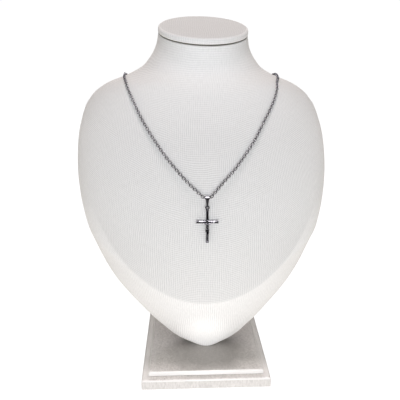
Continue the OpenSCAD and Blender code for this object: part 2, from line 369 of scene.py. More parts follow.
def wrapped_grid(name: str, columns: int, rows: int, shape: Layout,
                 weave: Optional[Layout] = None) -> Piece:
    """Wrap a flat grid round a shape whose last column meets its first.

    Args:
        name: Name of the piece.
        columns: Faces round the shape.
        rows: Faces along it.
        shape: Gives points in millimetres from the column and row shares, 0 to 1.
        weave: Gives the texture places in metres from the same shares.

    Returns:
        The wrapped piece, open at both ends.
    """
    piece = start(name, bpy.ops.mesh.primitive_grid_add, x_subdivisions=columns, y_subdivisions=rows, size=1)
    flat = points_of(piece)
    across, along = flat[:, 0] + 0.5, flat[:, 1] + 0.5
    place_all(piece, shape(across, along) * MM)
    if weave is not None:
        places = weave(across, along)
        corners = np.empty(len(piece.data.loops), dtype=np.int32)
        piece.data.loops.foreach_get("vertex_index", corners)
        layer = piece.data.uv_layers[0]
        layer.data.foreach_set("uv", places[corners].astype(np.float32).ravel())
    return piece


def turned(name: str, profile: Sequence[tuple[float, float]], steps: int = 48) -> Piece:
    """Spin a profile round the Z axis.

    Args:
        name: Name of the piece.
        profile: Pairs of radius and height, in millimetres, from the lower end to the upper.
        steps: Faces round the axis.

    Returns:
        The closed turned piece.
    """
    piece = start(name, bpy.ops.mesh.primitive_plane_add, size=MM)
    edit_all(piece)
    bpy.ops.mesh.select_mode(type="VERT")
    bpy.ops.mesh.select_all(action="SELECT")
    bpy.ops.mesh.merge(type="CENTER")
    first = Vector((profile[0][0], 0, profile[0][1])) * MM
    bpy.ops.transform.translate(value=first)
    for (r0, z0), (r1, z1) in zip(profile, profile[1:]):
        step = Vector((r1 - r0, 0, z1 - z0)) * MM
        bpy.ops.mesh.extrude_region_move(TRANSFORM_OT_translate={"value": step})
    bpy.ops.mesh.select_all(action="SELECT")
    bpy.ops.mesh.spin(steps=steps, angle=TAU, center=(0, 0, 0), axis=(0, 0, 1))
    bpy.ops.object.mode_set(mode="OBJECT")
    return close_mesh(piece)


def note(piece: Piece, name: str, values: Array) -> None:
    """Keep a number for each point of a cover, for its finish.

    Args:
        piece: The covered piece.
        name: What the numbers tell, such as PAINTED_LIGHT_SHADE.
        values: One number for each of its points, 0 for a plain place.
    """
    layer = piece.data.attributes.new(name, "FLOAT", "POINT")
    layer.data.foreach_set("value", values.astype(np.float32))


def box_weave(piece: Piece) -> None:
    """Lay texture places on a piece's faces by the way each face looks, in metres.

    Args:
        piece: The mesh piece.
    """
    mesh = piece.data
    layer = mesh.uv_layers[0] if mesh.uv_layers else mesh.uv_layers.new(name="UVMap")
    for face in mesh.polygons:
        normal = face.normal
        axis = max(range(3), key=lambda i: abs(normal[i]))
        for corner in face.loop_indices:
            place = mesh.vertices[mesh.loops[corner].vertex_index].co
            if axis == 2:
                layer.data[corner].uv = (place.x, place.y)
            else:
                layer.data[corner].uv = (place[1 - axis], place.z)


# Finishes


class NodeSheet:
    """A node tree whose nodes are added and fed by short calls."""

    def __init__(self, tree: bpy.types.NodeTree) -> None:
        """Start on a node tree."""
        self.tree = tree

    def feed(self, node: bpy.types.Node, inputs: Inputs) -> None:
        """Put values or other nodes' outputs into a node's sockets, told by name or number.

        Args:
            node: The node.
            inputs: What goes into each socket.
        """
        for name, value in inputs.items():
            if isinstance(value, Socket):
                self.tree.links.new(value, node.inputs[name])
            else:
                node.inputs[name].default_value = value

    def add(self, kind: str, inputs: Optional[Inputs] = None, **settings: object) -> bpy.types.Node:
        """Add a node.

        Args:
            kind: Its type.
            inputs: What goes into its sockets.
            **settings: Its own settings.

        Returns:
            The node.
        """
        node = self.tree.nodes.new(kind)
        for name, value in settings.items():
            setattr(node, name, value)
        self.feed(node, inputs or {})
        return node

    def math(self, operation: str, *values: object, **settings: object) -> Socket:
        """Add a Math node on up to three values."""
        inputs = dict(enumerate(values))
        return self.add("ShaderNodeMath", inputs, operation=operation, **settings).outputs[0]

    def scaled(self, places: Socket, scale: Point) -> Socket:
        """Stretch texture places."""
        return self.add("ShaderNodeMapping", {"Vector": places, "Scale": scale}).outputs[0]

    def noise(self, places: Socket, scale: float, detail: float, roughness: float = 0.5) -> Socket:
        """Add a noise over texture places."""
        return self.add("ShaderNodeTexNoise", {
            "Vector": places, "Scale": scale, "Detail": detail, "Roughness": roughness}).outputs["Fac"]

    def spread(self, value: Socket, low: float, high: float, source: Span = (0.3, 0.7),
               **settings: object) -> Socket:
        """Stretch a value from a source span to low..high.

        Args:
            value: The value.
            low: What the span's lower end gives.
            high: What its upper end gives.
            source: The span.
            **settings: The node's own settings.

        Returns:
            The value carried to its new span.
        """
        return self.add("ShaderNodeMapRange", {
            "Value": value, "From Min": source[0], "From Max": source[1], "To Min": low, "To Max": high,
        }, **settings).outputs[0]

    def mixed(self, share: Socket, *colours: object) -> Socket:
        """Mix two colours, each a value or a node's output, by a share."""
        first, second = (c if isinstance(c, Socket) else (*c, 1) for c in colours)
        return self.add("ShaderNodeMix", {"Factor": share, 6: first, 7: second}, data_type="RGBA").outputs[2]


class FinishSheet(NodeSheet):
    """The nodes of a material round its Principled shader."""

    def __init__(self, name: str) -> None:
        """Start an empty material.

        Args:
            name: Name of the material.
        """
        self.made = bpy.data.materials.new(name)
        self.made.use_nodes = True
        super().__init__(self.made.node_tree)
        self.shader = next(node for node in self.tree.nodes if node.type == "BSDF_PRINCIPLED")

    def places(self) -> Socket:
        """Give the object's own coordinates."""
        return self.add("ShaderNodeTexCoord").outputs["Object"]

    def noted(self, name: str) -> Socket:
        """Give the numbers that a cover keeps under a name."""
        return self.add("ShaderNodeAttribute", attribute_name=name).outputs["Fac"]

    def material(self, inputs: Inputs, relief: Socket, depth: float) -> Material:
        """Dress the shader and give the material.

        Args:
            inputs: What goes into the shader's sockets.
            relief: The height of the surface.
            depth: The relief's depth in millimetres.

        Returns:
            The finished material.
        """
        bump = self.add("ShaderNodeBump", {"Strength": 1, "Distance": depth * MM, "Height": relief})
        self.feed(self.shader, {**inputs, "Normal": bump.outputs[0]})
        return self.made


@dataclass(frozen=True)
class Fabric:
    """Off-white plain weave with uneven threads, drawn taut over a hard form, with painted light and shade
    kept on the cover.
    """

    light: Colour = (0.952, 0.939, 0.914)
    shade: Colour = (0.672, 0.66, 0.638)
    thread: float = 0.85
    rib: float = 1.95
    level_rib: float = 0.93
    rib_sway: float = 3.4
    sway_scale: float = 55
    mean_rib: float = 0.55
    patch_scale: float = 30
    patch_reach: Span = (0.15, 0.95)
    patch_span: Span = (0.38, 0.62)
    slub_stretch: float = 0.16
    rib_tone: float = 0.62
    thread_tone: float = 0.2
    slub_tone: float = 0.6
    base_tone: float = -0.15
    # How strongly the painted light and shade scale the cloth's colour.
    painted_light_gain: float = 0.045
    bump_depth: float = 0.06
    roughness: float = 0.85
    specular: float = 0.2

    def ribs(self, sheet: NodeSheet, place: Socket, period: float) -> Socket:
        """Raise ribs of a period in millimetres along one direction, 0 to 1."""
        turns = sheet.math("MULTIPLY", place, TAU / (period * MM))
        return sheet.math("MULTIPLY_ADD", sheet.math("SINE", turns), 0.5, 0.5)

    def material(self) -> Material:
        """Build the weave on the piece's own texture places.

        Returns:
            The finish of the bust, its cap and its post.
        """
        sheet = FinishSheet("fabric_weave")
        places = sheet.add("ShaderNodeUVMap").outputs[0]
        sway = sheet.add("ShaderNodeTexNoise", {"Vector": places, "Scale": self.sway_scale, "Detail": 3})
        reach = (self.rib_sway * MM, self.rib_sway * MM, 0)
        swayed = sheet.add("ShaderNodeVectorMath", {0: sway.outputs["Color"], 1: reach, 2: places},
                           operation="MULTIPLY_ADD")
        across, along, _ = sheet.add("ShaderNodeSeparateXYZ", {0: swayed.outputs[0]}).outputs
        patches = sheet.spread(sheet.noise(places, self.patch_scale, 2), *self.patch_reach, self.patch_span)
        upright = sheet.math("MULTIPLY", self.ribs(sheet, across, self.rib), patches)
        level = sheet.math("MULTIPLY", self.ribs(sheet, along, self.rib * self.level_rib),
                           sheet.math("SUBTRACT", 1.1, patches))
        fine = sheet.math("MULTIPLY", *(self.ribs(sheet, place, self.thread) for place in (across, along)))
        raised = sheet.math("SUBTRACT", sheet.math("ADD", upright, level), self.mean_rib)
        shown = sheet.math("SUBTRACT", 1.0, sheet.noted(PRESSED))
        woven = sheet.math("MULTIPLY_ADD", raised, shown, self.mean_rib)
        count = 1 / (self.thread * MM)
        slubs = sheet.noise(sheet.scaled(places, (count, count * self.slub_stretch, 1)), 1, 2, 0.6)
        tone = sheet.math("MULTIPLY_ADD", fine, self.thread_tone, self.base_tone)
        tone = sheet.math("MULTIPLY_ADD", woven, self.rib_tone, tone)
        tone = sheet.math("MULTIPLY_ADD", slubs, self.slub_tone, tone)
        # Painted light and shade: the cloth's colour is scaled up on the lower band, the neck, the sides and
        # the cap's rim, and down on the chest and the cap's top.
        painted_gain = sheet.math("MULTIPLY_ADD", sheet.noted(PAINTED_LIGHT_SHADE), self.painted_light_gain, 1.0)
        colour = sheet.mixed(tone, self.shade, self.light)
        cloth = sheet.add("ShaderNodeVectorMath", {0: colour, "Scale": painted_gain}, operation="SCALE")
        return sheet.material({"Base Color": cloth.outputs[0], "Roughness": self.roughness,
                               "Specular IOR Level": self.specular},
                              sheet.math("ADD", woven, fine), self.bump_depth)


@dataclass(frozen=True)
class Leatherette:
    """Pearl leatherette with a soft sheen, fine creases, faint scuffs, a few specks, painted shade under the
    bust and painted light on its ledges, faces and upper edges.
    """

    light: Colour = (0.85, 0.815, 0.78)
    shade: Colour = (0.55, 0.52, 0.49)
    # Colour of the painted shade under the bust.
    under_bust_shade: Colour = (0.3, 0.28, 0.26)
    # Colour of the painted highlight on the upper edges and of the painted light on the ledges and faces.
    painted_light: Colour = (1, 0.98, 0.95)
    speck: Colour = (0.16, 0.13, 0.12)
    # Where the painted shade under the bust lies, how its edge wavers and fades, and how deep it goes.
    shade_at: Point = (3, -18, 13)
    shade_reach: Point = (36, 38, 30)
    shade_cloud: float = 70
    cloud_share: float = 0.7
    deepest_shade: float = 0.66
    shade_span: Span = (1.05, 1.6)
    grain: float = 0.9
    crease_count: float = 420
    crease_stretch: Point = (1.6, 1.2, 0.6)
    crease_tone: float = 0.75
    wear_count: float = 60
    wear_stretch: Point = (1, 0.35, 1)
    wear_tone: float = 0.35
    speck_count: float = 75
    speck_share: float = 0.8
    speck_span: Span = (0.02, 0.045)
    bump_depth: float = 0.13
    roughness: float = 0.32
    coat: float = 0.3
    coat_roughness: float = 0.22

    def painted_shade_share(self, sheet: FinishSheet, places: Socket) -> Socket:
        """Give the share of painted shade on the cover, most under the bust.

        Args:
            sheet: The material's nodes.
            places: The object's coordinates.

        Returns:
            A share from 0 up to the deepest painted shade.
        """
        centre = sheet.add("ShaderNodeMapping", {
            "Vector": places, "Location": Vector(self.shade_at) * MM, "Scale": Vector(self.shade_reach) * MM,
        }, vector_type="TEXTURE")
        length = sheet.add("ShaderNodeVectorMath", {0: centre.outputs[0]}, operation="LENGTH")
        cloud = sheet.noise(places, self.shade_cloud, 4, 0.6)
        reach = sheet.math("MULTIPLY_ADD", cloud, self.cloud_share, length.outputs["Value"])
        return sheet.spread(reach, self.deepest_shade, 0, self.shade_span)

    def material(self) -> Material:
        """Build the grain on the object's own coordinates.

        Returns:
            The finish of both slabs.
        """
        sheet = FinishSheet("pearl_leatherette")
        places = sheet.places()
        cells = sheet.add("ShaderNodeTexVoronoi", {"Vector": places, "Scale": 1 / (self.grain * MM)},
                          feature="SMOOTH_F1")
        creases = sheet.noise(sheet.scaled(places, self.crease_stretch), self.crease_count, 3, 0.65)
        wear = sheet.noise(sheet.scaled(places, self.wear_stretch), self.wear_count, 5, 0.65)
        tone = sheet.math("MULTIPLY_ADD", sheet.spread(creases, 0, 1), self.crease_tone,
                          sheet.math("MULTIPLY", wear, self.wear_tone))
        cover = sheet.mixed(tone, self.shade, self.light)
        # Painted shade under the bust.
        cover = sheet.mixed(self.painted_shade_share(sheet, places), cover, self.under_bust_shade)
        # Painted highlight on the upper edges and painted light on the ledges and faces.
        cover = sheet.mixed(sheet.noted(PAINTED_LIGHT_SHADE), cover, self.painted_light)
        dots = sheet.add("ShaderNodeTexVoronoi", {"Vector": places, "Scale": self.speck_count}, feature="F1")
        dotted = sheet.spread(dots.outputs["Distance"], self.speck_share, 0, self.speck_span)
        return sheet.material({"Base Color": sheet.mixed(dotted, cover, self.speck),
                               "Roughness": sheet.spread(wear, self.roughness + 0.1, self.roughness - 0.06),
                               "Coat Weight": self.coat, "Coat Roughness": self.coat_roughness},
                              sheet.math("MULTIPLY_ADD", cells.outputs["Distance"], 0.5, creases),
                              self.bump_depth)


@dataclass(frozen=True)
class SeamBoard:
    """Bare olive brown edge of a fibre board."""

    light: Colour = (0.2, 0.18, 0.12)
    shade: Colour = (0.1, 0.09, 0.06)
    fibre_count: float = 500
    fibre_stretch: Point = (1, 1, 6)
    roughness: float = 0.8
    bump_depth: float = 0.05

    def material(self) -> Material:
        """Build the board's fibres on the object's own coordinates.

        Returns:
            The finish of the board under the cap.
        """
        sheet = FinishSheet("fibre_board")
        fibres = sheet.noise(sheet.scaled(sheet.places(), self.fibre_stretch), self.fibre_count, 3, 0.6)
        return sheet.material({"Base Color": sheet.mixed(fibres, self.shade, self.light),
                               "Roughness": self.roughness}, fibres, self.bump_depth)


@dataclass(frozen=True)
class Steel:
    """Polished stainless steel with fine rub marks, its colours set far darker than steel's as painted dark
    reflection.
    """

    name: str
    light: Colour
    shade: Colour
    roughness: float
    bump_depth: float = 0.004
    rub_count: float = 900
    mark_count: float = 3500
    mark_stretch: Point = (1, 1, 4)

    def material(self) -> Material:
        """Build the rub marks on the object's own coordinates.

        Returns:
            The finish of the wire or of the pendant.
        """
        sheet = FinishSheet(self.name)
        places = sheet.places()
        rubs = sheet.noise(places, self.rub_count, 3, 0.6)
        marks = sheet.noise(sheet.scaled(places, self.mark_stretch), self.mark_count, 2)
        return sheet.material({"Base Color": sheet.mixed(sheet.spread(rubs, 0, 1), self.shade, self.light),
                               "Roughness": sheet.spread(rubs, self.roughness + 0.08, self.roughness - 0.04),
                               "Metallic": 1}, marks, self.bump_depth)


# Both steels have base colours far darker than polished steel's: painted dark reflection.
CHAIN_STEEL = Steel("chain_steel_polish", (0.32, 0.32, 0.33), (0.08, 0.08, 0.095), 0.07)
PENDANT_STEEL = Steel("pendant_steel_polish", (0.32, 0.32, 0.34), (0.14, 0.14, 0.16), 0.08)


def hand_over(piece: Piece, material: Material, slot: Slot, *nodes: str) -> None:
    """Dress a finished piece and tie it to the frame.

    Args:
        piece: The finished piece.
        material: Its finish.
        slot: The record's slot that it takes its finish from; not used.
        *nodes: The drawn nodes that it stands for.
    """
    piece.data.materials.clear()
    piece.data.materials.append(material)
    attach(piece, BODY)
    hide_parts(*nodes)
    log.info("%s: %d faces, stands for %s", piece.name, len(piece.data.polygons), ", ".join(nodes))


# The bust's form


def ramp(value: Array, low: float, high: float) -> Array:
    """Rise smoothly from 0 at low to 1 at high."""
    share = np.clip((value - low) / (high - low), 0, 1)
    return share * share * (3 - 2 * share)


def soft_min(first: Array, second: Array, blend: float) -> Array:
    """Take the lesser of two values, rounded where they cross."""
    overlap = np.maximum(blend - np.abs(first - second), 0)
    return np.minimum(first, second) - overlap * overlap / (4 * blend)


def smooth_rows(table: Array, places: Array) -> Array:
    """Follow a smooth curve through a table's rows.

    Args:
        table: Rows whose first column rises from row to row.
        places: Where along the first column the values are wanted.

    Returns:
        One row of the table's columns for each place.
    """
    knots = table[:, 0]
    width = np.diff(knots)[:, None]
    rise = np.diff(table, axis=0) / width
    inner = (rise[:-1] * width[1:] + rise[1:] * width[:-1]) / (width[:-1] + width[1:])
    slope = np.vstack([rise[:1], inner, rise[-1:]])
    row = np.clip(np.searchsorted(knots, places, side="right") - 1, 0, len(knots) - 2)
    t = ((places - knots[row]) / width[row, 0])[:, None]
    t2, t3, w = t * t, t * t * t, width[row]
    return ((2 * t3 - 3 * t2 + 1) * table[row] + (t3 - 2 * t2 + t) * w * slope[row]
            + (3 * t2 - 2 * t3) * table[row + 1] + (t3 - t2) * w * slope[row + 1])


def run_along(points: Array) -> Array:
    """Give the length run at each point of a path."""
    return np.concatenate([[0], np.cumsum(np.linalg.norm(np.diff(points, axis=0), axis=1))])


def at_runs(wanted: Array, runs: Array, points: Array) -> Array:
    """Give the points of a path at the wanted runs."""
    return np.stack([np.interp(wanted, runs, column) for column in points.T], axis=-1)


def unit(vectors: Array) -> Array:
    """Give vectors their unit length."""
    return vectors / np.linalg.norm(vectors, axis=-1, keepdims=True)


@dataclass(frozen=True)
class Section:
    """One level of the bust: a half ellipse in front of a flat back."""

    height: float
    shift: float
    half: float
    front: float
    side: float
    back: float


@dataclass
class BustForm:
    """The skin of the bust, as a function of height and turn, 0 at the front and 180 at the back."""

    foot_z: float = 14
    neck_top: float = 309
    neck_y: float = 48
    tilt_from: float = 258
    cap_tilt: float = 17.7
    cap_roll: float = 1.5
    band_front: float = -16
    band_slope: float = 0.413
    band_power: float = 1.6
    crease_blend: float = 0.7
    band_fade: Span = (100, 150)
    back_power: float = 6
    back_round: Span = (240, 285)
    # Spans and strengths of the cloth's painted light and shade: painted shade on the chest, painted light on
    # the lower band, the neck and the sides.
    crease_reach: Span = (-0.4, 0.8)
    band_end: Span = (120, 170)
    side_start: Span = (110, 160)
    shoulder: Span = (215, 250)
    neck_start: Span = (245, 275)
    chest_painted_shade: float = 1.7
    neck_painted_light: float = 2
    side_painted_light: float = 5
    sections: tuple[Section, ...] = (
        Section(14, 2.0, 11.0, -30.0, -11.0, 2.0),
        Section(20, 1.8, 24.0, -33.0, -10.0, 3.7),
        Section(34, 1.4, 43.2, -37.5, -6.0, 7.8),
        Section(54, 1.0, 64.5, -40.5, 0.0, 13.6),
        Section(78, 0.5, 85.5, -42.3, 6.5, 20.6),
        Section(108, 0.3, 103.3, -43.5, 15.0, 29.3),
        Section(140, 0.1, 114.6, -42.7, 24.5, 38.5),
        Section(168, -0.2, 119.8, -39.2, 32.5, 46.7),
        Section(196, -0.5, 121.0, -33.2, 41.0, 54.8),
        Section(230, -1.1, 116.2, -20.5, 50.5, 64.6),
        Section(248, -1.6, 108.5, -11.0, 53.5, 69.9),
        Section(259, -2.0, 98.0, -5.0, 53.5, 73.8),
        Section(266, -2.0, 85.6, -1.0, 52.0, 77.0),
        Section(271, -1.2, 71.8, 1.5, 51.0, 79.6),
        Section(277, -0.3, 59.6, 4.0, 50.0, 82.8),
        Section(287, 0.3, 49.5, 6.3, 49.0, 87.0),
        Section(298, 0.6, 43.6, 7.0, 48.3, 89.0),
        Section(309, 0.8, 41.4, 6.8, 48.0, 89.2),
    )

    def table(self) -> Array:
        """Give the sections as a table with a row for each."""
        return np.array([[s.height, s.shift, s.half, s.front, s.side, s.back] for s in self.sections])

    def depths(self, rows: Array, height: Array, towards: Array, power: object) -> tuple[Array, Array]:
        """Give how far the chest and the lower band stand before the widest place.

        Args:
            rows: Table rows at the wanted heights.
            height: The heights themselves.
            towards: 1 straight at the front, 0 at the side.
            power: How blunt the band is.

        Returns:
            Both depths in millimetres.
        """
        front, side = rows[:, 3], rows[:, 4]
        band = (side - self.band_front + self.band_slope * (height - self.foot_z)) * towards ** power
        return (side - front) * towards, band

    def skin(self, height: Array, turn: Array) -> Array:
        """Give points of the skin.

        Args:
            height: Heights in millimetres.
            turn: Turns round the section in degrees.

        Returns:
            A point in millimetres for each pair.
        """
        rows = smooth_rows(self.table(), height)
        shift, half, side, back = rows[:, 1], rows[:, 2], rows[:, 4], rows[:, 5]
        sine, cosine = np.sin(np.radians(turn)), np.cos(np.radians(turn))
        bend = 2 / (self.back_power + (2 - self.back_power) * ramp(height, *self.back_round))
        in_front = cosine >= -1e-6
        x = half * np.where(in_front, sine, np.sign(sine) * np.abs(sine) ** bend)
        power = self.band_power + (1 - self.band_power) * ramp(rows[:, 0], *self.band_fade)
        depths = self.depths(rows, rows[:, 0], np.maximum(cosine, 0), power)
        front_y = side - soft_min(*depths, self.crease_blend)
        back_y = side + (back - side) * np.maximum(-cosine, 0) ** bend
        y = np.where(in_front, front_y, back_y)
        lean = ramp(height, self.tilt_from, self.neck_top)
        tilt, roll = (math.tan(math.radians(angle)) for angle in (self.cap_tilt, self.cap_roll))
        rise = (y - self.neck_y) * tilt - x * roll
        return np.stack([shift + x, y, height + lean * rise], axis=1)

    def painted_tone(self, points: Array) -> Array:
        """Give the painted light and shade of the cloth: painted light on the lower band, the neck and the
        sides, painted shade on the chest.

        Args:
            points: Points of the skin in millimetres.

        Returns:
            One value for each point, 0 for a plain place.
        """
        x, y, height = points[:, 0], points[:, 1], points[:, 2]
        rows = smooth_rows(self.table(), np.minimum(height, self.neck_top))
        sine = np.clip((x - rows[:, 1]) / rows[:, 2], -1, 1)
        towards = np.sqrt(1 - sine * sine)
        chest, band = self.depths(rows, height, towards, self.band_power)
        below_shoulder = 1 - ramp(height, *self.shoulder)
        on_band = ramp(chest - band, *self.crease_reach) * (1 - ramp(height, *self.band_end))
        on_chest = (1 - on_band) * below_shoulder
        on_neck = ramp(height, *self.neck_start) * towards ** 4
        on_sides = (1 - towards) * ramp(height, *self.side_start) * below_shoulder
        # Painted shade on the chest, painted light on the lower band, the neck and the sides.
        value = on_band - self.chest_painted_shade * on_chest + self.neck_painted_light * on_neck + self.side_painted_light * on_sides
        return np.where(y < rows[:, 4] + 1, value, 0)

    def normal(self, height: Array, turn: Array, step: float = 0.2) -> Array:
        """Give the way the skin looks at each height and turn.

        Args:
            height: Heights in millimetres.
            turn: Turns in degrees.
            step: How far to each side the skin is looked at.

        Returns:
            A unit vector for each pair.
        """
        upward = self.skin(height + step, turn) - self.skin(height - step, turn)
        around = self.skin(height, turn + step) - self.skin(height, turn - step)
        return unit(np.cross(around, upward))

    def point(self, height: float, turn: float, clear: float) -> Array:
        """Give one point that stands clear of the skin."""
        h, t = np.array([height]), np.array([turn])
        return (self.skin(h, t) + self.normal(h, t) * clear)[0]

    def neck_matrix(self, rise: float) -> Matrix:
        """Give the matrix of the neck's tilted top, a rise above it in millimetres.

        Args:
            rise: How far above the top, in millimetres.

        Returns:
            The matrix in metres.
        """
        top = self.sections[-1]
        place = Matrix.Translation(Vector((top.shift, self.neck_y, self.neck_top)) * MM)
        lean = turn_about("Y", self.cap_roll) @ turn_about("X", self.cap_tilt)
        return place @ lean @ Matrix.Translation((0, 0, rise * MM))


@dataclass
class Bust:
    """The fabric covered bust with its neck cap, the seam under it and the hidden post."""

    form: BustForm
    gap: float = 0.15
    columns: int = 264
    ring_steps: tuple[tuple[float, float, int], ...] = (
        (14, 50, 34), (50, 110, 72), (110, 150, 32), (150, 230, 30), (230, 254, 14), (254, 286, 34),
        (286, 309, 14))
    cap_r: float = 41.7
    cap_h: float = 5
    cap_edge_r: float = 2.4
    cap_foot_r: float = 0.5
    cap_insets: tuple[float, ...] = (6, 8, 8, 8)
    cap_crown: float = 0.25
    # Slight painted light on the cap's rim and side, and painted shade on its flat top.
    cap_rim_painted_light: float = 0.3
    cap_top_painted_shade: float = 3.6
    seam_h: float = 0.8
    seam_inset: float = 0.9
    post_round: float = 1.6
    back_slope: float = 0.29
    fan: float = 0.3
    fan_span: Span = (120, 290)
    neck_pressed: float = 0.55
    pressed_span: Span = (225, 275)
    sag: float = 0.55
    sag_start: float = 45
    sag_span: Span = (235, 285)

    def heights(self) -> Array:
        """Give the heights of the rings."""
        spans = [np.linspace(a, b, count, endpoint=False) for a, b, count in self.ring_steps]
        return np.concatenate([*spans, [self.form.neck_top]])

    def body(self) -> Piece:
        """Wrap a grid round the form, evenly spaced along each ring.

        Returns:
            The closed bust with texture places along its rings and its front.
        """
        heights = self.heights()
        rows = len(heights) - 1
        fine = np.linspace(-180, 180, 1441)
        shares = np.linspace(-1, 1, self.columns + 1)
        rings, girths = [], []
        for height in heights:
            dense = self.form.skin(np.full(len(fine), height), fine)
            run = run_along(dense)
            run -= run[len(fine) // 2]
            place = np.where(shares < 0, -shares * run[0], shares * run[-1])
            rings.append(at_runs(place, run, dense))
            girths.append(place)
        rings, girths = np.array(rings), np.array(girths)
        rise = run_along(self.form.skin(heights, np.zeros(len(heights))))

        def index(across: Array, along: Array) -> tuple[Array, Array]:
            """Give the row and column of each share."""
            return np.rint(along * rows).astype(int), np.rint(across * self.columns).astype(int)

        def shape(across: Array, along: Array) -> Array:
            """Give the skin's point at each share."""
            return rings[index(across, along)]

        def weave(across: Array, along: Array) -> Array:
            """Give the place on the cloth, fanned at the chest and sagging to the sides.

            Args:
                across: Shares round the bust.
                along: Shares up the bust.

            Returns:
                Texture places in metres.
            """
            row, column = index(across, along)
            girth, height = girths[row, column], heights[row]
            fan = girth * (1 + self.fan * ramp(height, *self.fan_span))
            drop = np.hypot(girth, self.sag_start) - self.sag_start
            sag = self.sag * (1 - ramp(height, *self.sag_span)) * drop
            return np.stack([fan, rise[row] - sag], axis=1) * MM

        piece = wrapped_grid("bust_body_cover", self.columns, rows, shape, weave)
        points = points_of(piece) / MM
        # Painted light and shade of the cloth, which its finish reads.
        note(piece, PAINTED_LIGHT_SHADE, self.form.painted_tone(points))
        note(piece, PRESSED, self.neck_pressed * ramp(points[:, 2], *self.pressed_span))
        close_mesh(piece)
        return smooth_faces(piece, 60)

    def cap(self) -> Piece:
        """Model the covered cap on the tilted neck.

        Returns:
            The cap, in its place.
        """
        piece = disc("neck_cap_cover", self.cap_r, self.cap_h, 160)
        rim = self.cap_h * MM - TOUCH
        round_edges(piece, lambda edge: min(heights_of(edge)) > rim, self.cap_edge_r, 8)
        round_edges(piece, lambda edge: max(heights_of(edge)) < TOUCH, self.cap_foot_r, 3)
        edit_some(piece, "FACE", lambda face: face.normal.z > 0.999 and min(heights_of(face)) > rim)
        for width in self.cap_insets:
            bpy.ops.mesh.inset(thickness=width * MM, depth=0)
        bpy.ops.object.mode_set(mode="OBJECT")
        points = points_of(piece)
        radius = np.hypot(points[:, 0], points[:, 1]) / (self.cap_r * MM)
        on_top = points[:, 2] > rim
        points[on_top, 2] += self.cap_crown * MM * (1 - radius[on_top] ** 2)
        place_all(piece, points)
        # Painted shade on the cap's flat top, slight painted light on its rounded rim and side.
        note(piece, PAINTED_LIGHT_SHADE, self.cap_rim_painted_light - self.cap_top_painted_shade * ramp(1 - radius, 0.01, 0.05) * on_top)
        note(piece, PRESSED, np.full(len(points), self.neck_pressed))
        box_weave(piece)
        moved(piece, self.form.neck_matrix(self.seam_h + 2 * self.gap))
        return smooth_faces(piece, 50)

    def seam(self) -> Piece:
        """Model the board whose bare edge shows under the cap.

        Returns:
            The board, in its place.
        """
        piece = disc("cap_seam_board", self.cap_r - self.seam_inset, self.seam_h, 128)
        round_edges(piece, lambda edge: not is_upright(edge), 0.15, 2)
        moved(piece, self.form.neck_matrix(self.gap))
        return smooth_faces(piece)

    def post(self) -> Piece:
        """Model the plain covered post behind the bust, cut off along the bust's back.

        Returns:
            The post, in its place.
        """
        low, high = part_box("support_post")
        middle = (low + high) / 2
        piece = block("support_post_cover", low, high)
        points = points_of(piece)
        front_top = (points[:, 1] < middle.y) & (points[:, 2] > middle.z)
        points[front_top, 2] = high.z - (high - low).y / self.back_slope
        place_all(piece, points)
        round_edges(piece, is_upright, self.post_round, 5)
        box_weave(piece)
        return smooth_faces(piece, 40)

    def build(self, fabric: Material, board: Material) -> None:
        """Build and dress all the pieces of the bust.

        Args:
            fabric: The finish of the bust, its cap and its post.
            board: The finish of the board.
        """
        hand_over(self.body(), fabric, Slot.FABRIC, "bust_body")
        hand_over(self.cap(), fabric, Slot.FABRIC, "neck_cap")
        hand_over(self.seam(), board, Slot.SEAM_BOARD, "cap_seam")
        hand_over(self.post(), fabric, Slot.FABRIC, "support_post")


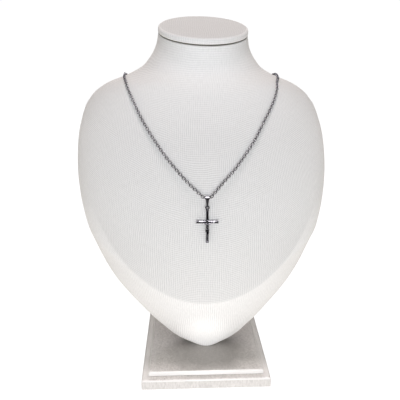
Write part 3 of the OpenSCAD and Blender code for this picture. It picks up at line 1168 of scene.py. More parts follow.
@dataclass
class Base:
    """The two covered square slabs that carry the bust."""

    edge_r: float = 1.8
    corner_r: float = 0.9
    swell: float = 0.12
    long_wave: Span = (61, 53)
    short_wave: Span = (140, 120)
    cuts: int = 26
    # Share of painted light on the slabs' faces below the top.
    face_painted_light: float = 0.2
    border_w: float = 7

    def slab(self, name: str, node: str, top_painted_light: float, border_painted_light: float, highlight_w: float,
             highlight_h: float) -> Piece:
        """Model a covered slab in the place of a drawn one.

        Args:
            name: Name of the piece.
            node: The drawn slab.
            top_painted_light: Share of painted light on the flat top.
            border_painted_light: The same along its left and right borders.
            highlight_w: Width of the painted highlight along the upper edges in millimetres.
            highlight_h: How far down the painted highlight reaches.

        Returns:
            A slab with rounded upper edges and a soft, slightly uneven cover.
        """
        low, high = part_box(node)
        piece = block(name, low, high)
        round_edges(piece, is_upright, self.corner_r, 5)
        round_edges(piece, lambda edge: min(heights_of(edge)) > high.z - TOUCH, self.edge_r, 7)
        for axis in (0, 1):
            self.cut(piece, axis, low[axis], high[axis])
        points = points_of(piece)
        across, along = points[:, 0], points[:, 1]
        wave = np.sin(across * self.long_wave[0] + 1.3) * np.sin(along * self.long_wave[1] + 0.4)
        wave += 0.5 * np.sin(across * self.short_wave[0] + along * self.short_wave[1])
        upper = points[:, 2] > (low.z + high.z) / 2
        points[:, 2] -= np.where(upper, self.swell * MM * (0.5 + wave / 3), 0)
        place_all(piece, points)
        inside = np.minimum(points[:, :2] - np.array(low[:2]), np.array(high[:2]) - points[:, :2]).min(axis=1)
        depth = high.z - points[:, 2]
        # Painted highlight along the upper edges, painted light on the flat top and its borders and on the
        # faces below it.
        edge = ramp(highlight_w * MM - inside, 0, 0.5 * MM) * ramp(highlight_h * MM - depth, 0, 0.8 * MM)
        top_light_share = np.where(np.abs(points[:, 0]) > high.x - self.border_w * MM, border_painted_light, top_painted_light)
        note(piece, PAINTED_LIGHT_SHADE, np.maximum(edge, np.where(depth < 0.5 * MM, top_light_share, self.face_painted_light)))
        return smooth_faces(piece, 40)

    def cut(self, piece: Piece, axis: int, low: float, high: float) -> None:
        """Cut a slab across into even strips, so that its cover can dip.

        Args:
            piece: The slab.
            axis: 0 to cut across X, 1 across Y.
            low: Lower end of the slab on that axis.
            high: Upper end.
        """
        normal = Vector((1 - axis, axis, 0))
        for place in np.linspace(low, high, self.cuts + 2)[1:-1]:
            edit_all(piece)
            bpy.ops.mesh.bisect(plane_co=normal * place, plane_no=normal, use_fill=False)
        bpy.ops.object.mode_set(mode="OBJECT")

    def build(self, leatherette: Material) -> None:
        """Build and dress both slabs."""
        # Each slab's painted light on its top and along its left and right borders, and the width and depth
        # of the painted highlight on its upper edges.
        for node, *light_shares in (("base_plate", 0.05, 0.85, 0.9, 2), ("base_panel", 0, 0.22, 1.5, 5)):
            hand_over(self.slab(node + "_cover", node, *light_shares), leatherette, Slot.LEATHERETTE, node)


# The necklace


@dataclass(frozen=True)
class RouteRow:
    """One place of the chain: its turn round the bust on each side and its height."""

    stage: float
    right: float
    left: float
    height: float


@dataclass
class ChainRoute:
    """The chain's middle line on each side, from the bail round to the clasp."""

    form: BustForm
    link_l: float = 3.6
    link_w: float = 2.7
    wire_d: float = 0.6
    link_gap: float = 0.2
    gap: float = 0.15
    strip_t: float = 0.45
    clasp_l: float = 7
    clasp_eye_d: float = 3.8
    clasp_wire_d: float = 0.8
    near_bail: float = 1.5
    step: float = 1 / 30
    rows: tuple[RouteRow, ...] = (
        RouteRow(-0.5, -0.9, -1.95, 175.9),
        RouteRow(0, 0.55, -0.55, 174.9),
        RouteRow(0.5, 1.95, 0.9, 175.9),
        RouteRow(1, 3.25, 2.5, 178.8),
        RouteRow(2, 7.1, 7.1, 188),
        RouteRow(3, 11.8, 11.5, 198),
        RouteRow(4, 15.9, 15.7, 208),
        RouteRow(5, 20.4, 19.9, 219),
        RouteRow(6, 24.7, 24.3, 230),
        RouteRow(7, 29.3, 28.4, 240),
        RouteRow(8, 35.1, 33.2, 250),
        RouteRow(9, 43, 40.6, 259.5),
        RouteRow(10, 55, 53.5, 266.8),
        RouteRow(11, 81, 79, 270.7),
        RouteRow(12, 103, 102, 270.2),
        RouteRow(13, 126, 125, 268),
        RouteRow(14, 145, 145, 264.5),
        RouteRow(15, 162, 162, 262.2),
        RouteRow(16, 180, 180, 261.5),
    )

    def __post_init__(self) -> None:
        """Work out both middle lines."""
        self.bail_r = self.link_w / 2 + self.gap
        self.top_clear = self.bail_r + self.strip_t + self.gap
        self.chain_clear = self.link_w / 2 + 0.16
        self.table = np.array([[r.stage, r.right, r.left, r.height] for r in self.rows])
        last = self.rows[-1].stage
        self.stages = np.arange(0, last + self.step / 2, self.step)
        self.lines = {side: self.line(side) for side in Side}
        self.runs = {side: run_along(line) for side, line in self.lines.items()}

    def on_skin(self, stages: Array, side: Side) -> tuple[Array, Array]:
        """Give the heights and turns of a side's stages."""
        rows = smooth_rows(self.table, stages)
        return rows[:, 3], side.value * rows[:, 1 if side is Side.RIGHT else 2]

    def line(self, side: Side) -> Array:
        """Give the points of one side's middle line.

        Args:
            side: The side of the chain.

        Returns:
            A row of three coordinates for each stage.
        """
        height, turn = self.on_skin(self.stages, side)
        lift = self.top_clear + (self.chain_clear - self.top_clear) * ramp(self.stages, 0, self.near_bail)
        return self.form.skin(height, turn) + self.form.normal(height, turn) * lift[:, None]

    def along(self, run: float, side: Side) -> Array:
        """Give the point at a run along one side."""
        return at_runs(run, self.runs[side], self.lines[side])

    def out(self, run: float, side: Side) -> Array:
        """Give the way out from the bust at a run along one side.

        Args:
            run: The run in millimetres.
            side: The side of the chain.

        Returns:
            A unit vector.
        """
        stage = np.interp(run, self.runs[side], self.stages)
        height, turn = self.on_skin(np.array([stage]), side)
        return self.form.normal(height, turn)[0]

    def eye_at(self) -> float:
        """Give the distance from the clasp's middle to the middle of its eyes."""
        return self.clasp_l / 2 + self.clasp_eye_d / 2 - 0.3

    def clasp_hold(self) -> float:
        """Give the run that the clasp takes of each side."""
        eye_end = self.eye_at() + self.clasp_eye_d / 2 - self.clasp_wire_d
        return eye_end - self.link_gap + self.link_l / 2 - self.wire_d

    def count(self, side: Side) -> int:
        """Give the odd number of links of one side.

        Args:
            side: The side of the chain.

        Returns:
            The number, the one in the bail left out.
        """
        widest = self.link_l - 2 * self.wire_d - self.link_gap
        links = (self.runs[side][-1] - self.clasp_hold()) / widest
        return 2 * math.ceil((links - 1) / 2) + 1

    def pitch(self, side: Side) -> float:
        """Give the distance between links of one side."""
        return (self.runs[side][-1] - self.clasp_hold()) / self.count(side)


def frame_matrix(origin: Array, tangent: Array, out: Array) -> Matrix:
    """Give the matrix of a frame whose X follows the tangent and whose Z points out.

    Args:
        origin: Its origin in millimetres.
        tangent: The way along.
        out: The way out, roughly.

    Returns:
        The matrix in scene metres.
    """
    x = unit(tangent)
    y = unit(np.cross(out, x))
    z = np.cross(x, y)
    matrix = Matrix.Identity(4)
    for row in range(3):
        matrix[row][:] = (x[row], y[row], z[row], origin[row] * MM)
    return matrix


@dataclass
class Chain:
    """Both sides of the cable chain and the plain clasp."""

    route: ChainRoute
    link_bends: int = 12
    wire_sides: int = 5
    clasp_d: float = 2.4

    def link(self) -> Piece:
        """Model one oval link lying flat, its length along X.

        Returns:
            The link on the origin.
        """
        r = self.route
        piece = wire_ring("link", r.link_w, r.wire_d, self.link_bends, self.wire_sides,
                          rotation=(0, 0, math.pi / self.link_bends))
        points = points_of(piece)
        points[:, 0] += np.sign(points[:, 0]) * (r.link_l - r.link_w) / 2 * MM
        place_all(piece, points)
        return piece

    def half(self, name: str, side: Side, first: int) -> Piece:
        """Copy the link along one side, each turned a quarter to the next.

        Args:
            name: Name of the joined links.
            side: The side of the chain.
            first: Number of the first link, 0 for the one in the bail.

        Returns:
            The side's links as one piece.
        """
        model = self.link()
        reach = self.route.link_l / 2
        pitch = self.route.pitch(side)
        other = Side.LEFT if side is Side.RIGHT else Side.RIGHT
        quarter = turn_about("X", 90)
        links = []
        for number in range(first, self.route.count(side) + 1):
            run = number * pitch
            before = self.route.along(reach, other) if number == 0 else self.route.along(run - reach, side)
            after = self.route.along(run + reach, side)
            matrix = frame_matrix(self.route.along(run, side), after - before, self.route.out(run, side))
            links.append(copy_of(model, matrix @ quarter if number % 2 else matrix))
        bpy.data.objects.remove(model)
        return fuse(name, links)

    def clasp(self) -> Piece:
        """Model the plain barrel with an eye at each end.

        Returns:
            The clasp, in its place.
        """
        r = self.route
        half, radius = r.clasp_l / 2, self.clasp_d / 2
        end = [(0, half), (0.5, half), (radius - 0.3, half - 0.15), (radius, half - 0.5), (radius, 0.25),
               (radius - 0.12, 0.15)]
        barrel = turned("barrel", [(r, -z) for r, z in end] + end[::-1])
        moved(barrel, turn_about("Y", 90))
        parts = [smooth_faces(barrel, 30)]
        for side in (-1, 1):
            parts.append(wire_ring("eye", r.clasp_eye_d, r.clasp_wire_d, 32, 14,
                                   location=(side * r.eye_at() * MM, 0, 0)))
        piece = fuse("clasp_barrel", parts)
        reach = 2
        ends = [r.runs[side][-1] for side in Side]
        tangent = r.along(ends[0] - reach, Side.RIGHT) - r.along(ends[1] - reach, Side.LEFT)
        return moved(piece, frame_matrix(r.lines[Side.RIGHT][-1], tangent, r.out(ends[0], Side.RIGHT)))

    def build(self, steel: Material) -> None:
        """Build and dress the chain and its clasp.

        Args:
            steel: The finish of the wire.
        """
        hand_over(self.half("chain_right_links", Side.RIGHT, 0), steel, Slot.CHAIN_STEEL, "chain_right")
        hand_over(self.half("chain_left_links", Side.LEFT, 1), steel, Slot.CHAIN_STEEL, "chain_left")
        hand_over(self.clasp(), steel, Slot.CHAIN_STEEL, "clasp")


@dataclass(frozen=True)
class Stroke:
    """A rounded form drawn from one ellipsoid to another, in the pendant's millimetres."""

    start: Point
    start_radii: Point
    end: Point
    end_radii: Point

    def on(self, side: int) -> "Stroke":
        """Give the stroke as it is for side 1, or mirrored across for -1."""
        (x0, y0, z0), (x1, y1, z1) = self.start, self.end
        return Stroke((side * x0, y0, z0), self.start_radii, (side * x1, y1, z1), self.end_radii)


def round_stroke(a: Point, ra: float, b: Point, rb: float) -> Stroke:
    """Give a stroke between two balls."""
    return Stroke(a, (ra, ra, ra), b, (rb, rb, rb))


@dataclass
class Pendant:
    """The tapered bail and the crucifix with its generic figure."""

    form: BustForm
    route: ChainRoute
    low_z: float = 138.3
    low_turn: float = 0.35
    cross_up: float = 10.5
    cross_down: float = 17.8
    cross_arm: float = 9.3
    chain_rise: float = 19.9
    bar_d: float = 2.2
    end_d: float = 2.9
    eye_d: float = 3.8
    eye_wire_d: float = 0.95
    eye_sink: float = 0.15
    bail_low_r: float = 0.68
    bail_low_hang: float = 0.62
    bail_top_w: float = 3.3
    bail_low_w: float = 1
    voxel: float = 0.075
    head_voxel: float = 0.036
    ball_step: float = 0.45
    head_at: Point = (-0.25, 0.95, 2.55)
    head_lean: float = 14
    head_bow: float = 16

    def matrix(self) -> Matrix:
        """Give the pendant's frame: X across, Y up the cross, Z away from the chest, 0 at the crossing.

        Returns:
            The matrix in metres.
        """
        first = self.route.rows[1]
        low = self.form.point(self.low_z, self.low_turn, self.end_d / 2 + self.route.gap)
        top = self.form.point(first.height, first.right, self.route.top_clear)
        up = unit(top - low)
        across = unit(np.cross(up, np.array([0, -1, 0])))
        frame_at_top = frame_matrix(top, across, np.cross(across, up))
        return frame_at_top @ Matrix.Translation((0, -self.chain_rise * MM, 0))

    def eye_at(self) -> float:
        """Give the height of the eye's middle above the crossing."""
        return self.cross_up + self.eye_d / 2 - self.eye_sink

    def strap(self, share: Array) -> Array:
        """Follow the strap's middle line round its large upper and small lower bend.

        Args:
            share: Shares of the way round, 0 to 1.

        Returns:
            Places across the thickness and up the cross, in millimetres.
        """
        low_at = self.eye_at() + self.bail_low_hang + self.bail_low_r
        distance = self.chain_rise - low_at
        r1 = self.route.bail_r + self.route.strip_t / 2
        r2 = self.bail_low_r + self.route.strip_t / 2
        lean = math.asin((r1 - r2) / distance)
        upper = np.linspace(-lean, math.pi + lean, 40)
        lower = np.linspace(math.pi + lean, TAU - lean, 24)
        path = np.concatenate([
            np.stack([r1 * np.cos(upper), self.chain_rise + r1 * np.sin(upper)], axis=1),
            np.stack([r2 * np.cos(lower), low_at + r2 * np.sin(lower)], axis=1),
        ])
        path = np.vstack([path, path[:1]])
        run = run_along(path)
        return at_runs(share * run[-1], run, path)

    def bail(self) -> Piece:
        """Model the closed strip that hangs on the chain and holds the eye.

        Returns:
            The bail, in its place.
        """
        low_end = self.eye_at() + self.bail_low_hang - self.route.strip_t
        top_end = self.chain_rise + self.route.bail_r + self.route.strip_t + 1

        def shape(around: Array, across: Array) -> Array:
            """Give the strip's middle surface at each share.

            Args:
                around: Shares round the strap.
                across: Shares across the strip.

            Returns:
                Points in the pendant's millimetres.
            """
            path = self.strap(1 - around)
            rise = (path[:, 1] - low_end) / (top_end - low_end)
            width = self.bail_low_w + (self.bail_top_w - self.bail_low_w) * rise
            edge = np.sign(across - 0.5) * np.abs(2 * across - 1) ** 0.8 / 2
            return np.stack([width * edge, path[:, 1], path[:, 0]], axis=1)

        piece = wrapped_grid("bail_strap", 120, 8, shape)
        edit_all(piece)
        bpy.ops.mesh.remove_doubles(threshold=1e-7)
        bpy.ops.mesh.normals_make_consistent(inside=False)
        bpy.ops.object.mode_set(mode="OBJECT")
        apply_modifier(piece, "SOLIDIFY", thickness=self.route.strip_t * MM, offset=0)
        apply_modifier(piece, "BEVEL", width=0.12 * MM, segments=3, limit_method="ANGLE")
        moved(piece, self.matrix())
        return smooth_faces(piece, 50)

    def bar(self, name: str, reach_low: float, reach_high: float) -> Piece:
        """Turn a round bar with a flared cap and a collar at each end.

        Args:
            name: Name of the bar.
            reach_low: Reach of its lower end from the crossing.
            reach_high: Reach of its upper end.

        Returns:
            The bar, along Z.
        """
        cap, rod = self.end_d / 2, self.bar_d / 2
        end = [(0, 0), (cap - 0.35, 0), (cap - 0.12, 0.08), (cap, 0.3), (cap, 0.62), (cap - 0.1, 0.86),
               (rod + 0.02, 1.12), (rod - 0.06, 1.24), (rod - 0.06, 1.4), (cap - 0.28, 1.46),
               (cap - 0.15, 1.58), (cap - 0.15, 1.8), (cap - 0.28, 1.92), (rod, 2.0)]
        lower = [(r, z - reach_low) for r, z in end]
        upper = [(r, reach_high - z) for r, z in reversed(end)]
        return smooth_faces(turned(name, lower + upper, 56), 40)

    def cross(self) -> Piece:
        """Model both bars and the soldered eye.

        Returns:
            The cross, in its place.
        """
        upright = self.bar("upright", self.cross_down, self.cross_up)
        moved(upright, turn_about("X", -90))
        arms = self.bar("arms", self.cross_arm, self.cross_arm)
        moved(arms, turn_about("Y", 90))
        eye = wire_ring("eye", self.eye_d, self.eye_wire_d, 48, 16, location=(0, self.eye_at() * MM, 0))
        return moved(fuse("cross_bars_and_eye", [upright, arms, eye]), self.matrix())

    def modelled(self, name: str, strokes: Sequence[Stroke], voxel: float, soften: int) -> Piece:
        """Model rounded strokes and melt them into one cast form.

        Args:
            name: Name of the piece.
            strokes: The rounded forms.
            voxel: Size of the remesh in millimetres.
            soften: Rounds of smoothing.

        Returns:
            The melted piece in the pendant's frame.
        """
        ball = start("ball", bpy.ops.mesh.primitive_uv_sphere_add, segments=20, ring_count=12, radius=1)
        forms = []
        for stroke in strokes:
            a, b = Vector(stroke.start), Vector(stroke.end)
            ra, rb = Vector(stroke.start_radii), Vector(stroke.end_radii)
            least = max(min(*ra, *rb) * self.ball_step, 0.05)
            count = max(2, math.ceil((b - a).length / least) + 1)
            for share in np.linspace(0, 1, count):
                radii = ra.lerp(rb, share)
                place = Matrix.Translation(a.lerp(b, share) * MM)
                forms.append(copy_of(ball, place @ Matrix.Diagonal((*(radii * MM), 1))))
        bpy.data.objects.remove(ball)
        piece = fuse(name, forms)
        apply_modifier(piece, "REMESH", mode="VOXEL", voxel_size=voxel * MM)
        apply_modifier(piece, "SMOOTH", factor=0.5, iterations=soften)
        return smooth_faces(piece, 180)

    def head_strokes(self) -> list[Stroke]:
        """Give the head's forms: a plain face of even proportions, parted hair and a short beard.

        Returns:
            The forms of the head, upright and on the origin.
        """
        strokes = [
            Stroke((0, 0.1, -0.05), (0.74, 0.98, 0.84), (0, -0.1, 0.05), (0.68, 0.88, 0.74)),
            Stroke((0, -0.45, 0.2), (0.58, 0.44, 0.54), (0, -0.8, 0.26), (0.44, 0.32, 0.44)),
            Stroke((0, 0.24, 0.74), (0.075, 0.1, 0.08), (0, -0.16, 0.9), (0.095, 0.08, 0.1)),
            Stroke((-0.09, -0.19, 0.82), (0.07, 0.06, 0.07), (0.09, -0.19, 0.82), (0.07, 0.06, 0.07)),
            Stroke((-0.15, -0.42, 0.74), (0.05, 0.05, 0.07), (0, -0.385, 0.79), (0.07, 0.05, 0.07)),
            Stroke((0.15, -0.42, 0.74), (0.05, 0.05, 0.07), (0, -0.385, 0.79), (0.07, 0.05, 0.07)),
            Stroke((-0.1, -0.53, 0.74), (0.06, 0.05, 0.07), (0.1, -0.53, 0.74), (0.06, 0.05, 0.07)),
            Stroke((0, -0.76, 0.42), (0.42, 0.24, 0.24), (0, -1.04, 0.42), (0.26, 0.2, 0.18)),
        ]
        for side in (-1, 1):
            strokes += [stroke.on(side) for stroke in self.half_head()]
        strokes.append(Stroke((0, 0.3, -0.4), (0.85, 0.85, 0.62), (0, -0.45, -0.45), (0.72, 0.5, 0.45)))
        return strokes

    def half_head(self) -> list[Stroke]:
        """Give the forms that both sides of the head have: brow, lid, cheek, lip, hair and beard.

        Returns:
            The forms for side 1.
        """
        strokes = [
            Stroke((0.16, 0.33, 0.72), (0.06, 0.035, 0.06), (0.44, 0.3, 0.6), (0.06, 0.03, 0.06)),
            Stroke((0.24, 0.13, 0.63), (0.08, 0.07, 0.07), (0.32, 0.12, 0.61), (0.08, 0.06, 0.07)),
            Stroke((0.36, -0.12, 0.52), (0.2, 0.18, 0.12), (0.42, -0.2, 0.42), (0.18, 0.18, 0.12)),
            Stroke((0.06, -0.31, 0.78), (0.06, 0.04, 0.06), (0.3, -0.46, 0.64), (0.06, 0.06, 0.06)),
        ]
        for lock in range(4):
            spread = 0.12 + 0.2 * lock
            back = 0.55 - 0.32 * lock
            strokes += [
                Stroke((spread * 0.8, 0.98 - 0.05 * lock, back * 0.7), (0.14, 0.12, 0.16),
                       (0.62 + 0.04 * lock, 0.35, back), (0.13, 0.2, 0.16)),
                Stroke((0.66 + 0.04 * lock, 0.35, back - 0.05), (0.13, 0.2, 0.15),
                       (0.6 + 0.1 * lock, -0.75 - 0.08 * lock, back - 0.1), (0.11, 0.16, 0.12)),
            ]
        for curl in range(4):
            place = 0.07 + 0.14 * curl
            strokes.append(Stroke(
                (place, -0.66 + 0.12 * curl, 0.62 - 0.1 * curl), (0.075, 0.1, 0.09),
                (place * 0.85, -1.08 + 0.13 * curl, 0.5 - 0.1 * curl), (0.06, 0.11, 0.08)))
        return strokes

    def head(self) -> Piece:
        """Model the head, bowed forward and to one side.

        Returns:
            The head in the pendant's frame.
        """
        piece = self.modelled("figure_head", self.head_strokes(), self.head_voxel, 2)
        place = Matrix.Translation(Vector(self.head_at) * MM)
        return moved(piece, place @ turn_about("Z", self.head_lean) @ turn_about("X", self.head_bow))

    def body_strokes(self) -> list[Stroke]:
        """Give the figure's forms below the head.

        Returns:
            The forms in the pendant's frame.
        """
        strokes = [
            round_stroke((-0.05, -1.1, 2.0), 0.46, (-0.15, 0.3, 2.35), 0.42),
            Stroke((0, -1.75, 1.8), (1.35, 0.7, 0.7), (0, -3.1, 1.95), (1.2, 0.75, 0.78)),
            Stroke((0, -3.1, 1.95), (1.2, 0.75, 0.78), (0.1, -4.7, 1.8), (0.92, 0.5, 0.6)),
            Stroke((0.1, -4.7, 1.8), (0.92, 0.5, 0.6), (0.15, -6.2, 1.85), (1.15, 0.65, 0.7)),
            Stroke((0.1, -4.3, 2.25), (0.22, 0.3, 0.22), (0.12, -5.3, 2.25), (0.2, 0.3, 0.2)),
            Stroke((0.15, -14.7, 1.3), (0.62, 0.4, 0.42), (0.15, -14.95, 1.3), (0.5, 0.3, 0.36)),
        ]
        for side in (-1, 1):
            legs = [
                round_stroke((0.15 + side * 0.6, -7.1, 1.95), 0.64, (0.2 + side * 0.5, -9.5, 2.45), 0.48),
                round_stroke((0.2 + side * 0.5, -9.5, 2.5), 0.48, (0.2 + side * 0.45, -10.1, 2.58), 0.42),
                round_stroke((0.2 + side * 0.46, -10.1, 2.45), 0.42, (0.18 + side * 0.4, -11.1, 2.15), 0.44),
                round_stroke((0.18 + side * 0.4, -11.1, 2.15), 0.44, (0.15 + side * 0.22, -12.7, 1.85), 0.29),
            ]
            strokes += [stroke.on(side) for stroke in self.half_chest(6.1 if side < 0 else 6.4)] + legs
        strokes += [
            Stroke((0.1, -12.8, 1.95), (0.34, 0.34, 0.34), (0.14, -13.9, 2.42), (0.34, 0.32, 0.22)),
            Stroke((0.0, -12.8, 1.7), (0.3, 0.34, 0.3), (0.2, -13.8, 2.1), (0.34, 0.36, 0.24)),
            Stroke((0.14, -13.9, 2.42), (0.34, 0.26, 0.2), (0.14, -14.2, 2.4), (0.32, 0.16, 0.14)),
        ]
        for toe in range(5):
            place = -0.16 + 0.15 * toe
            strokes.append(round_stroke((place, -14.1, 2.42), 0.09, (place, -14.34, 2.4), 0.08))
        return strokes

    def half_chest(self, hand: float) -> list[Stroke]:
        """Give the chest's, arm's and hand's forms of one side.

        Args:
            hand: Reach of the palm from the middle.

        Returns:
            The forms for side 1.
        """
        strokes = [
            Stroke((0.3, -2.0, 2.45), (0.34, 0.3, 0.24), (0.85, -1.95, 2.35), (0.42, 0.38, 0.26)),
            Stroke((0.2, -1.15, 2.25), (0.2, 0.16, 0.2), (1.35, -1.05, 2.1), (0.34, 0.3, 0.32)),
            round_stroke((1.3, -1.2, 2.0), 0.5, (2.3, -0.98, 1.85), 0.45),
            round_stroke((2.3, -0.98, 1.85), 0.46, (3.5, -0.68, 1.65), 0.34),
            round_stroke((3.5, -0.68, 1.65), 0.34, (4.2, -0.45, 1.6), 0.37),
            round_stroke((4.2, -0.45, 1.6), 0.37, (hand - 0.5, 0.08, 1.46), 0.24),
            Stroke((hand - 0.45, 0.1, 1.45), (0.24, 0.24, 0.18), (hand, 0.24, 1.42), (0.26, 0.3, 0.17)),
        ]
        for rib in range(3):
            strokes.append(round_stroke((0.25, -2.75 - 0.5 * rib, 2.62 - 0.06 * rib), 0.1,
                                        (1.08 - 0.06 * rib, -3.0 - 0.5 * rib, 2.2), 0.12))
        for finger in range(4):
            rise = 0.42 - 0.15 * finger
            strokes.append(round_stroke((hand, 0.2 + 0.12 * (1.5 - finger), 1.44), 0.09,
                                        (hand + 0.42, 0.12 + rise, 1.5), 0.075))
        strokes.append(round_stroke((hand - 0.2, 0.4, 1.5), 0.1, (hand + 0.1, 0.66, 1.55), 0.075))
        return strokes

    def cloth_strokes(self) -> list[Stroke]:
        """Give the loincloth with its folds and the knot at the hip.

        Returns:
            The forms in the pendant's frame.
        """
        strokes = [
            Stroke((0.1, -5.8, 1.85), (1.36, 0.32, 0.82), (0.15, -7.1, 1.95), (1.26, 0.55, 0.88)),
            Stroke((-0.5, -7.3, 1.9), (0.62, 0.6, 0.8), (0.75, -7.3, 1.9), (0.62, 0.5, 0.8)),
            Stroke((-1.22, -5.95, 2.15), (0.36, 0.36, 0.42), (-1.4, -6.2, 2.1), (0.3, 0.3, 0.36)),
            Stroke((-1.42, -6.3, 2.05), (0.3, 0.35, 0.36), (-1.6, -8.0, 1.75), (0.34, 0.3, 0.3)),
            Stroke((-1.2, -6.3, 2.2), (0.2, 0.3, 0.24), (-1.15, -7.9, 2.05), (0.22, 0.3, 0.22)),
        ]
        for fold in range(5):
            drop = 0.42 * fold
            strokes.append(round_stroke((-1.15, -6.0 - 0.22 * fold, 2.45 - 0.02 * fold), 0.12,
                                        (1.2 - 0.1 * fold, -5.75 - drop, 2.5), 0.15))
            strokes.append(round_stroke((1.2 - 0.1 * fold, -5.75 - drop, 2.5), 0.15,
                                        (1.45 - 0.12 * fold, -5.75 - drop, 1.7), 0.12))
        for fold in range(3):
            strokes.append(round_stroke((-1.2 - 0.12 * fold, -6.3, 2.4), 0.1,
                                        (-1.25 - 0.2 * fold, -8.0, 2.0), 0.12))
        return strokes

    def figure(self) -> Piece:
        """Model the cast figure: body, cloth and head.

        Returns:
            The figure, in its place.
        """
        body = self.modelled("figure_body", self.body_strokes(), self.voxel, 3)
        cloth = self.modelled("figure_cloth", self.cloth_strokes(), self.voxel, 2)
        piece = fuse("figure_cast", [body, cloth, self.head()])
        return moved(piece, self.matrix())

    def build(self, steel: Material) -> None:
        """Build and dress the bail, the cross and the figure.

        Args:
            steel: The finish of the pendant.
        """
        hand_over(self.bail(), steel, Slot.PENDANT_STEEL, "bail")
        hand_over(self.cross(), steel, Slot.PENDANT_STEEL, "crucifix")
        hand_over(self.figure(), steel, Slot.PENDANT_STEEL, "crucifix")


# The studio


@dataclass(frozen=True)
class Lamp:
    """One studio lamp, its places and size in millimetres and its power in watts.

    A lamp with an angle in degrees is a spot with a soft edge, the others are soft squares.
    """

    name: str
    place: Point
    aim: Point
    power: float
    size: float
    angle: float = 0
    colour: Colour = (1, 1, 1)
    mirrored: bool = False


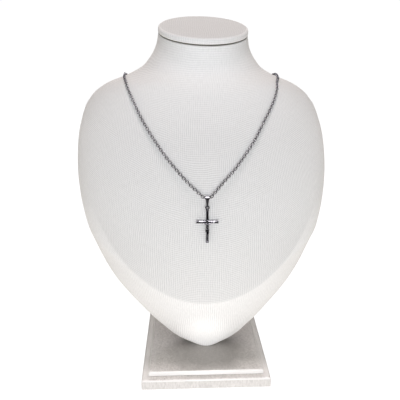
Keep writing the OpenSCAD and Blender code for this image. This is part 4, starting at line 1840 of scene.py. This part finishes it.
@dataclass
class Studio:
    """Camera, pale floor, soft lights and a white cove whose reflections have a dark front."""

    camera_at: Point = (-17.8, -382.6, 283.6)
    camera_pitch: float = 17.7
    camera_yaw: float = 2.1
    focal_pixels: float = 433
    frame_pixels: float = 400
    sensor: float = 36
    floor_front: float = -600
    floor_back: float = 2600
    floor_half: float = 1800
    floor_drop: float = 0.2
    floor_base: Colour = (0.3, 0.3, 0.3)
    floor_glow: Colour = (0.85, 0.815, 0.78)
    floor_mirrored: float = 0.03
    backdrop: Colour = (1.02, 1.02, 1.02)
    cove: Colour = (0.2, 0.175, 0.14)
    front_glow: Colour = (1.2, 1.36, 1.6)
    back_share: float = 0.8
    glow_power: float = 4
    mirror_low: Colour = (0.004, 0.004, 0.006)
    mirror_high: Colour = (3, 2.8, 2.9)
    mirror_span: Span = (0.5, 0.78)
    lamps: tuple[Lamp, ...] = (
        Lamp("overhead", (0, 0, 1400), (0, 0, 0), 6.3, 200, colour=(1.04, 0.97, 0.98), mirrored=True),
        Lamp("low_front", (15, -400, 22), (0, -30, 120), 0.5, 120),
        Lamp("tip_accent", (0, -300, 42), (0, -31, 32), 0.85, 8, 13),
        Lamp("band_accent", (0, -330, 60), (0, -33, 34), 0.15, 8, 26),
    )

    def camera(self) -> None:
        """Add the camera at the photograph's angle."""
        deselect()
        way = (math.radians(90 - self.camera_pitch), 0, -math.radians(self.camera_yaw))
        bpy.ops.object.camera_add(location=Vector(self.camera_at) * MM, rotation=way)
        camera = bpy.context.active_object
        camera.name = "photo_camera"
        camera.data.sensor_width = self.sensor
        camera.data.lens = self.sensor * self.focal_pixels / self.frame_pixels
        camera.data.clip_start = 0.01
        camera.data.clip_end = 20
        bpy.context.scene.camera = camera

    def floor(self) -> None:
        """Add the plain pale floor."""
        middle = (self.floor_back + self.floor_front) / 2
        piece = start("floor", bpy.ops.mesh.primitive_plane_add, size=1,
                      location=(0, middle * MM, -self.floor_drop * MM))
        piece.scale = (2 * self.floor_half * MM, (self.floor_back - self.floor_front) * MM, 1)
        settle(piece)
        sheet = FinishSheet("pale_floor")
        path = sheet.add("ShaderNodeLightPath").outputs
        sheet.feed(sheet.shader, {
            "Base Color": (*self.floor_base, 1), "Roughness": 1, "Specular IOR Level": 0,
            "Emission Color": sheet.mixed(path["Is Camera Ray"], self.floor_glow, (1, 1, 1)),
            "Emission Strength": sheet.math(
                "MULTIPLY_ADD", path["Is Glossy Ray"], self.floor_mirrored - 1, 1.0),
        })
        piece.data.materials.append(sheet.made)

    def light(self, lamp: Lamp) -> None:
        """Add a lamp that the camera never sees, and that metal mirrors only if the lamp says so.

        Args:
            lamp: The lamp.
        """
        deselect()
        way = Vector(lamp.aim) - Vector(lamp.place)
        bpy.ops.object.light_add(type="SPOT" if lamp.angle else "AREA", location=Vector(lamp.place) * MM,
                                 rotation=way.to_track_quat("-Z", "Y").to_euler())
        light = bpy.context.active_object
        light.name = lamp.name
        light.data.energy = lamp.power
        light.data.color = lamp.colour
        light.visible_camera = False
        light.visible_glossy = lamp.mirrored
        if lamp.angle:
            light.data.spot_size = math.radians(lamp.angle)
            light.data.spot_blend = 1
            light.data.shadow_soft_size = lamp.size * MM
        else:
            light.data.shape = "SQUARE"
            light.data.size = lamp.size * MM

    def world(self) -> None:
        """Set a white cove for the eye and the cloth, and a cove with a dark front for the metal."""
        world = bpy.data.worlds.new("white_cove")
        bpy.context.scene.world = world
        world.use_nodes = True
        sheet = NodeSheet(world.node_tree)
        sheet.tree.nodes.clear()
        path = sheet.add("ShaderNodeLightPath").outputs
        way = sheet.add("ShaderNodeTexCoord").outputs["Generated"]
        _, along, up = sheet.add("ShaderNodeSeparateXYZ", {0: way}).outputs
        sides = [sheet.math("MULTIPLY", along, share) for share in (-1, self.back_share)]
        lobe = sheet.math("POWER", sheet.math("MAXIMUM", *sides, use_clamp=True), self.glow_power)
        lit = sheet.mixed(lobe, self.cove, tuple(a + b for a, b in zip(self.cove, self.front_glow)))
        high = sheet.spread(up, 0, 1, self.mirror_span, interpolation_type="SMOOTHSTEP")
        mirrored = sheet.mixed(high, self.mirror_low, self.mirror_high)
        seen = sheet.mixed(path["Is Glossy Ray"], lit, mirrored)
        shade = sheet.add("ShaderNodeBackground", {
            "Color": sheet.mixed(path["Is Camera Ray"], seen, self.backdrop)})
        sheet.add("ShaderNodeOutputWorld", {0: shade.outputs[0]})

    def build(self) -> None:
        """Set the camera, the floor, the lights and the view of colours."""
        self.camera()
        self.floor()
        self.world()
        for lamp in self.lamps:
            self.light(lamp)
        view = bpy.context.scene.view_settings
        view.view_transform = "Standard"
        view.look = "None"
        view.exposure = 0
        view.gamma = 1


def main() -> None:
    """Build every piece in order and log each one's face count."""
    logging.basicConfig(level=logging.INFO, format="%(name)s: %(message)s")
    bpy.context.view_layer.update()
    Studio().build()
    form = BustForm()
    fabric = Fabric().material()
    Bust(form).build(fabric, SeamBoard().material())
    Base().build(Leatherette().material())
    route = ChainRoute(form)
    Chain(route).build(CHAIN_STEEL.material())
    Pendant(form, route).build(PENDANT_STEEL.material())


if __name__ == "__main__":
    main()
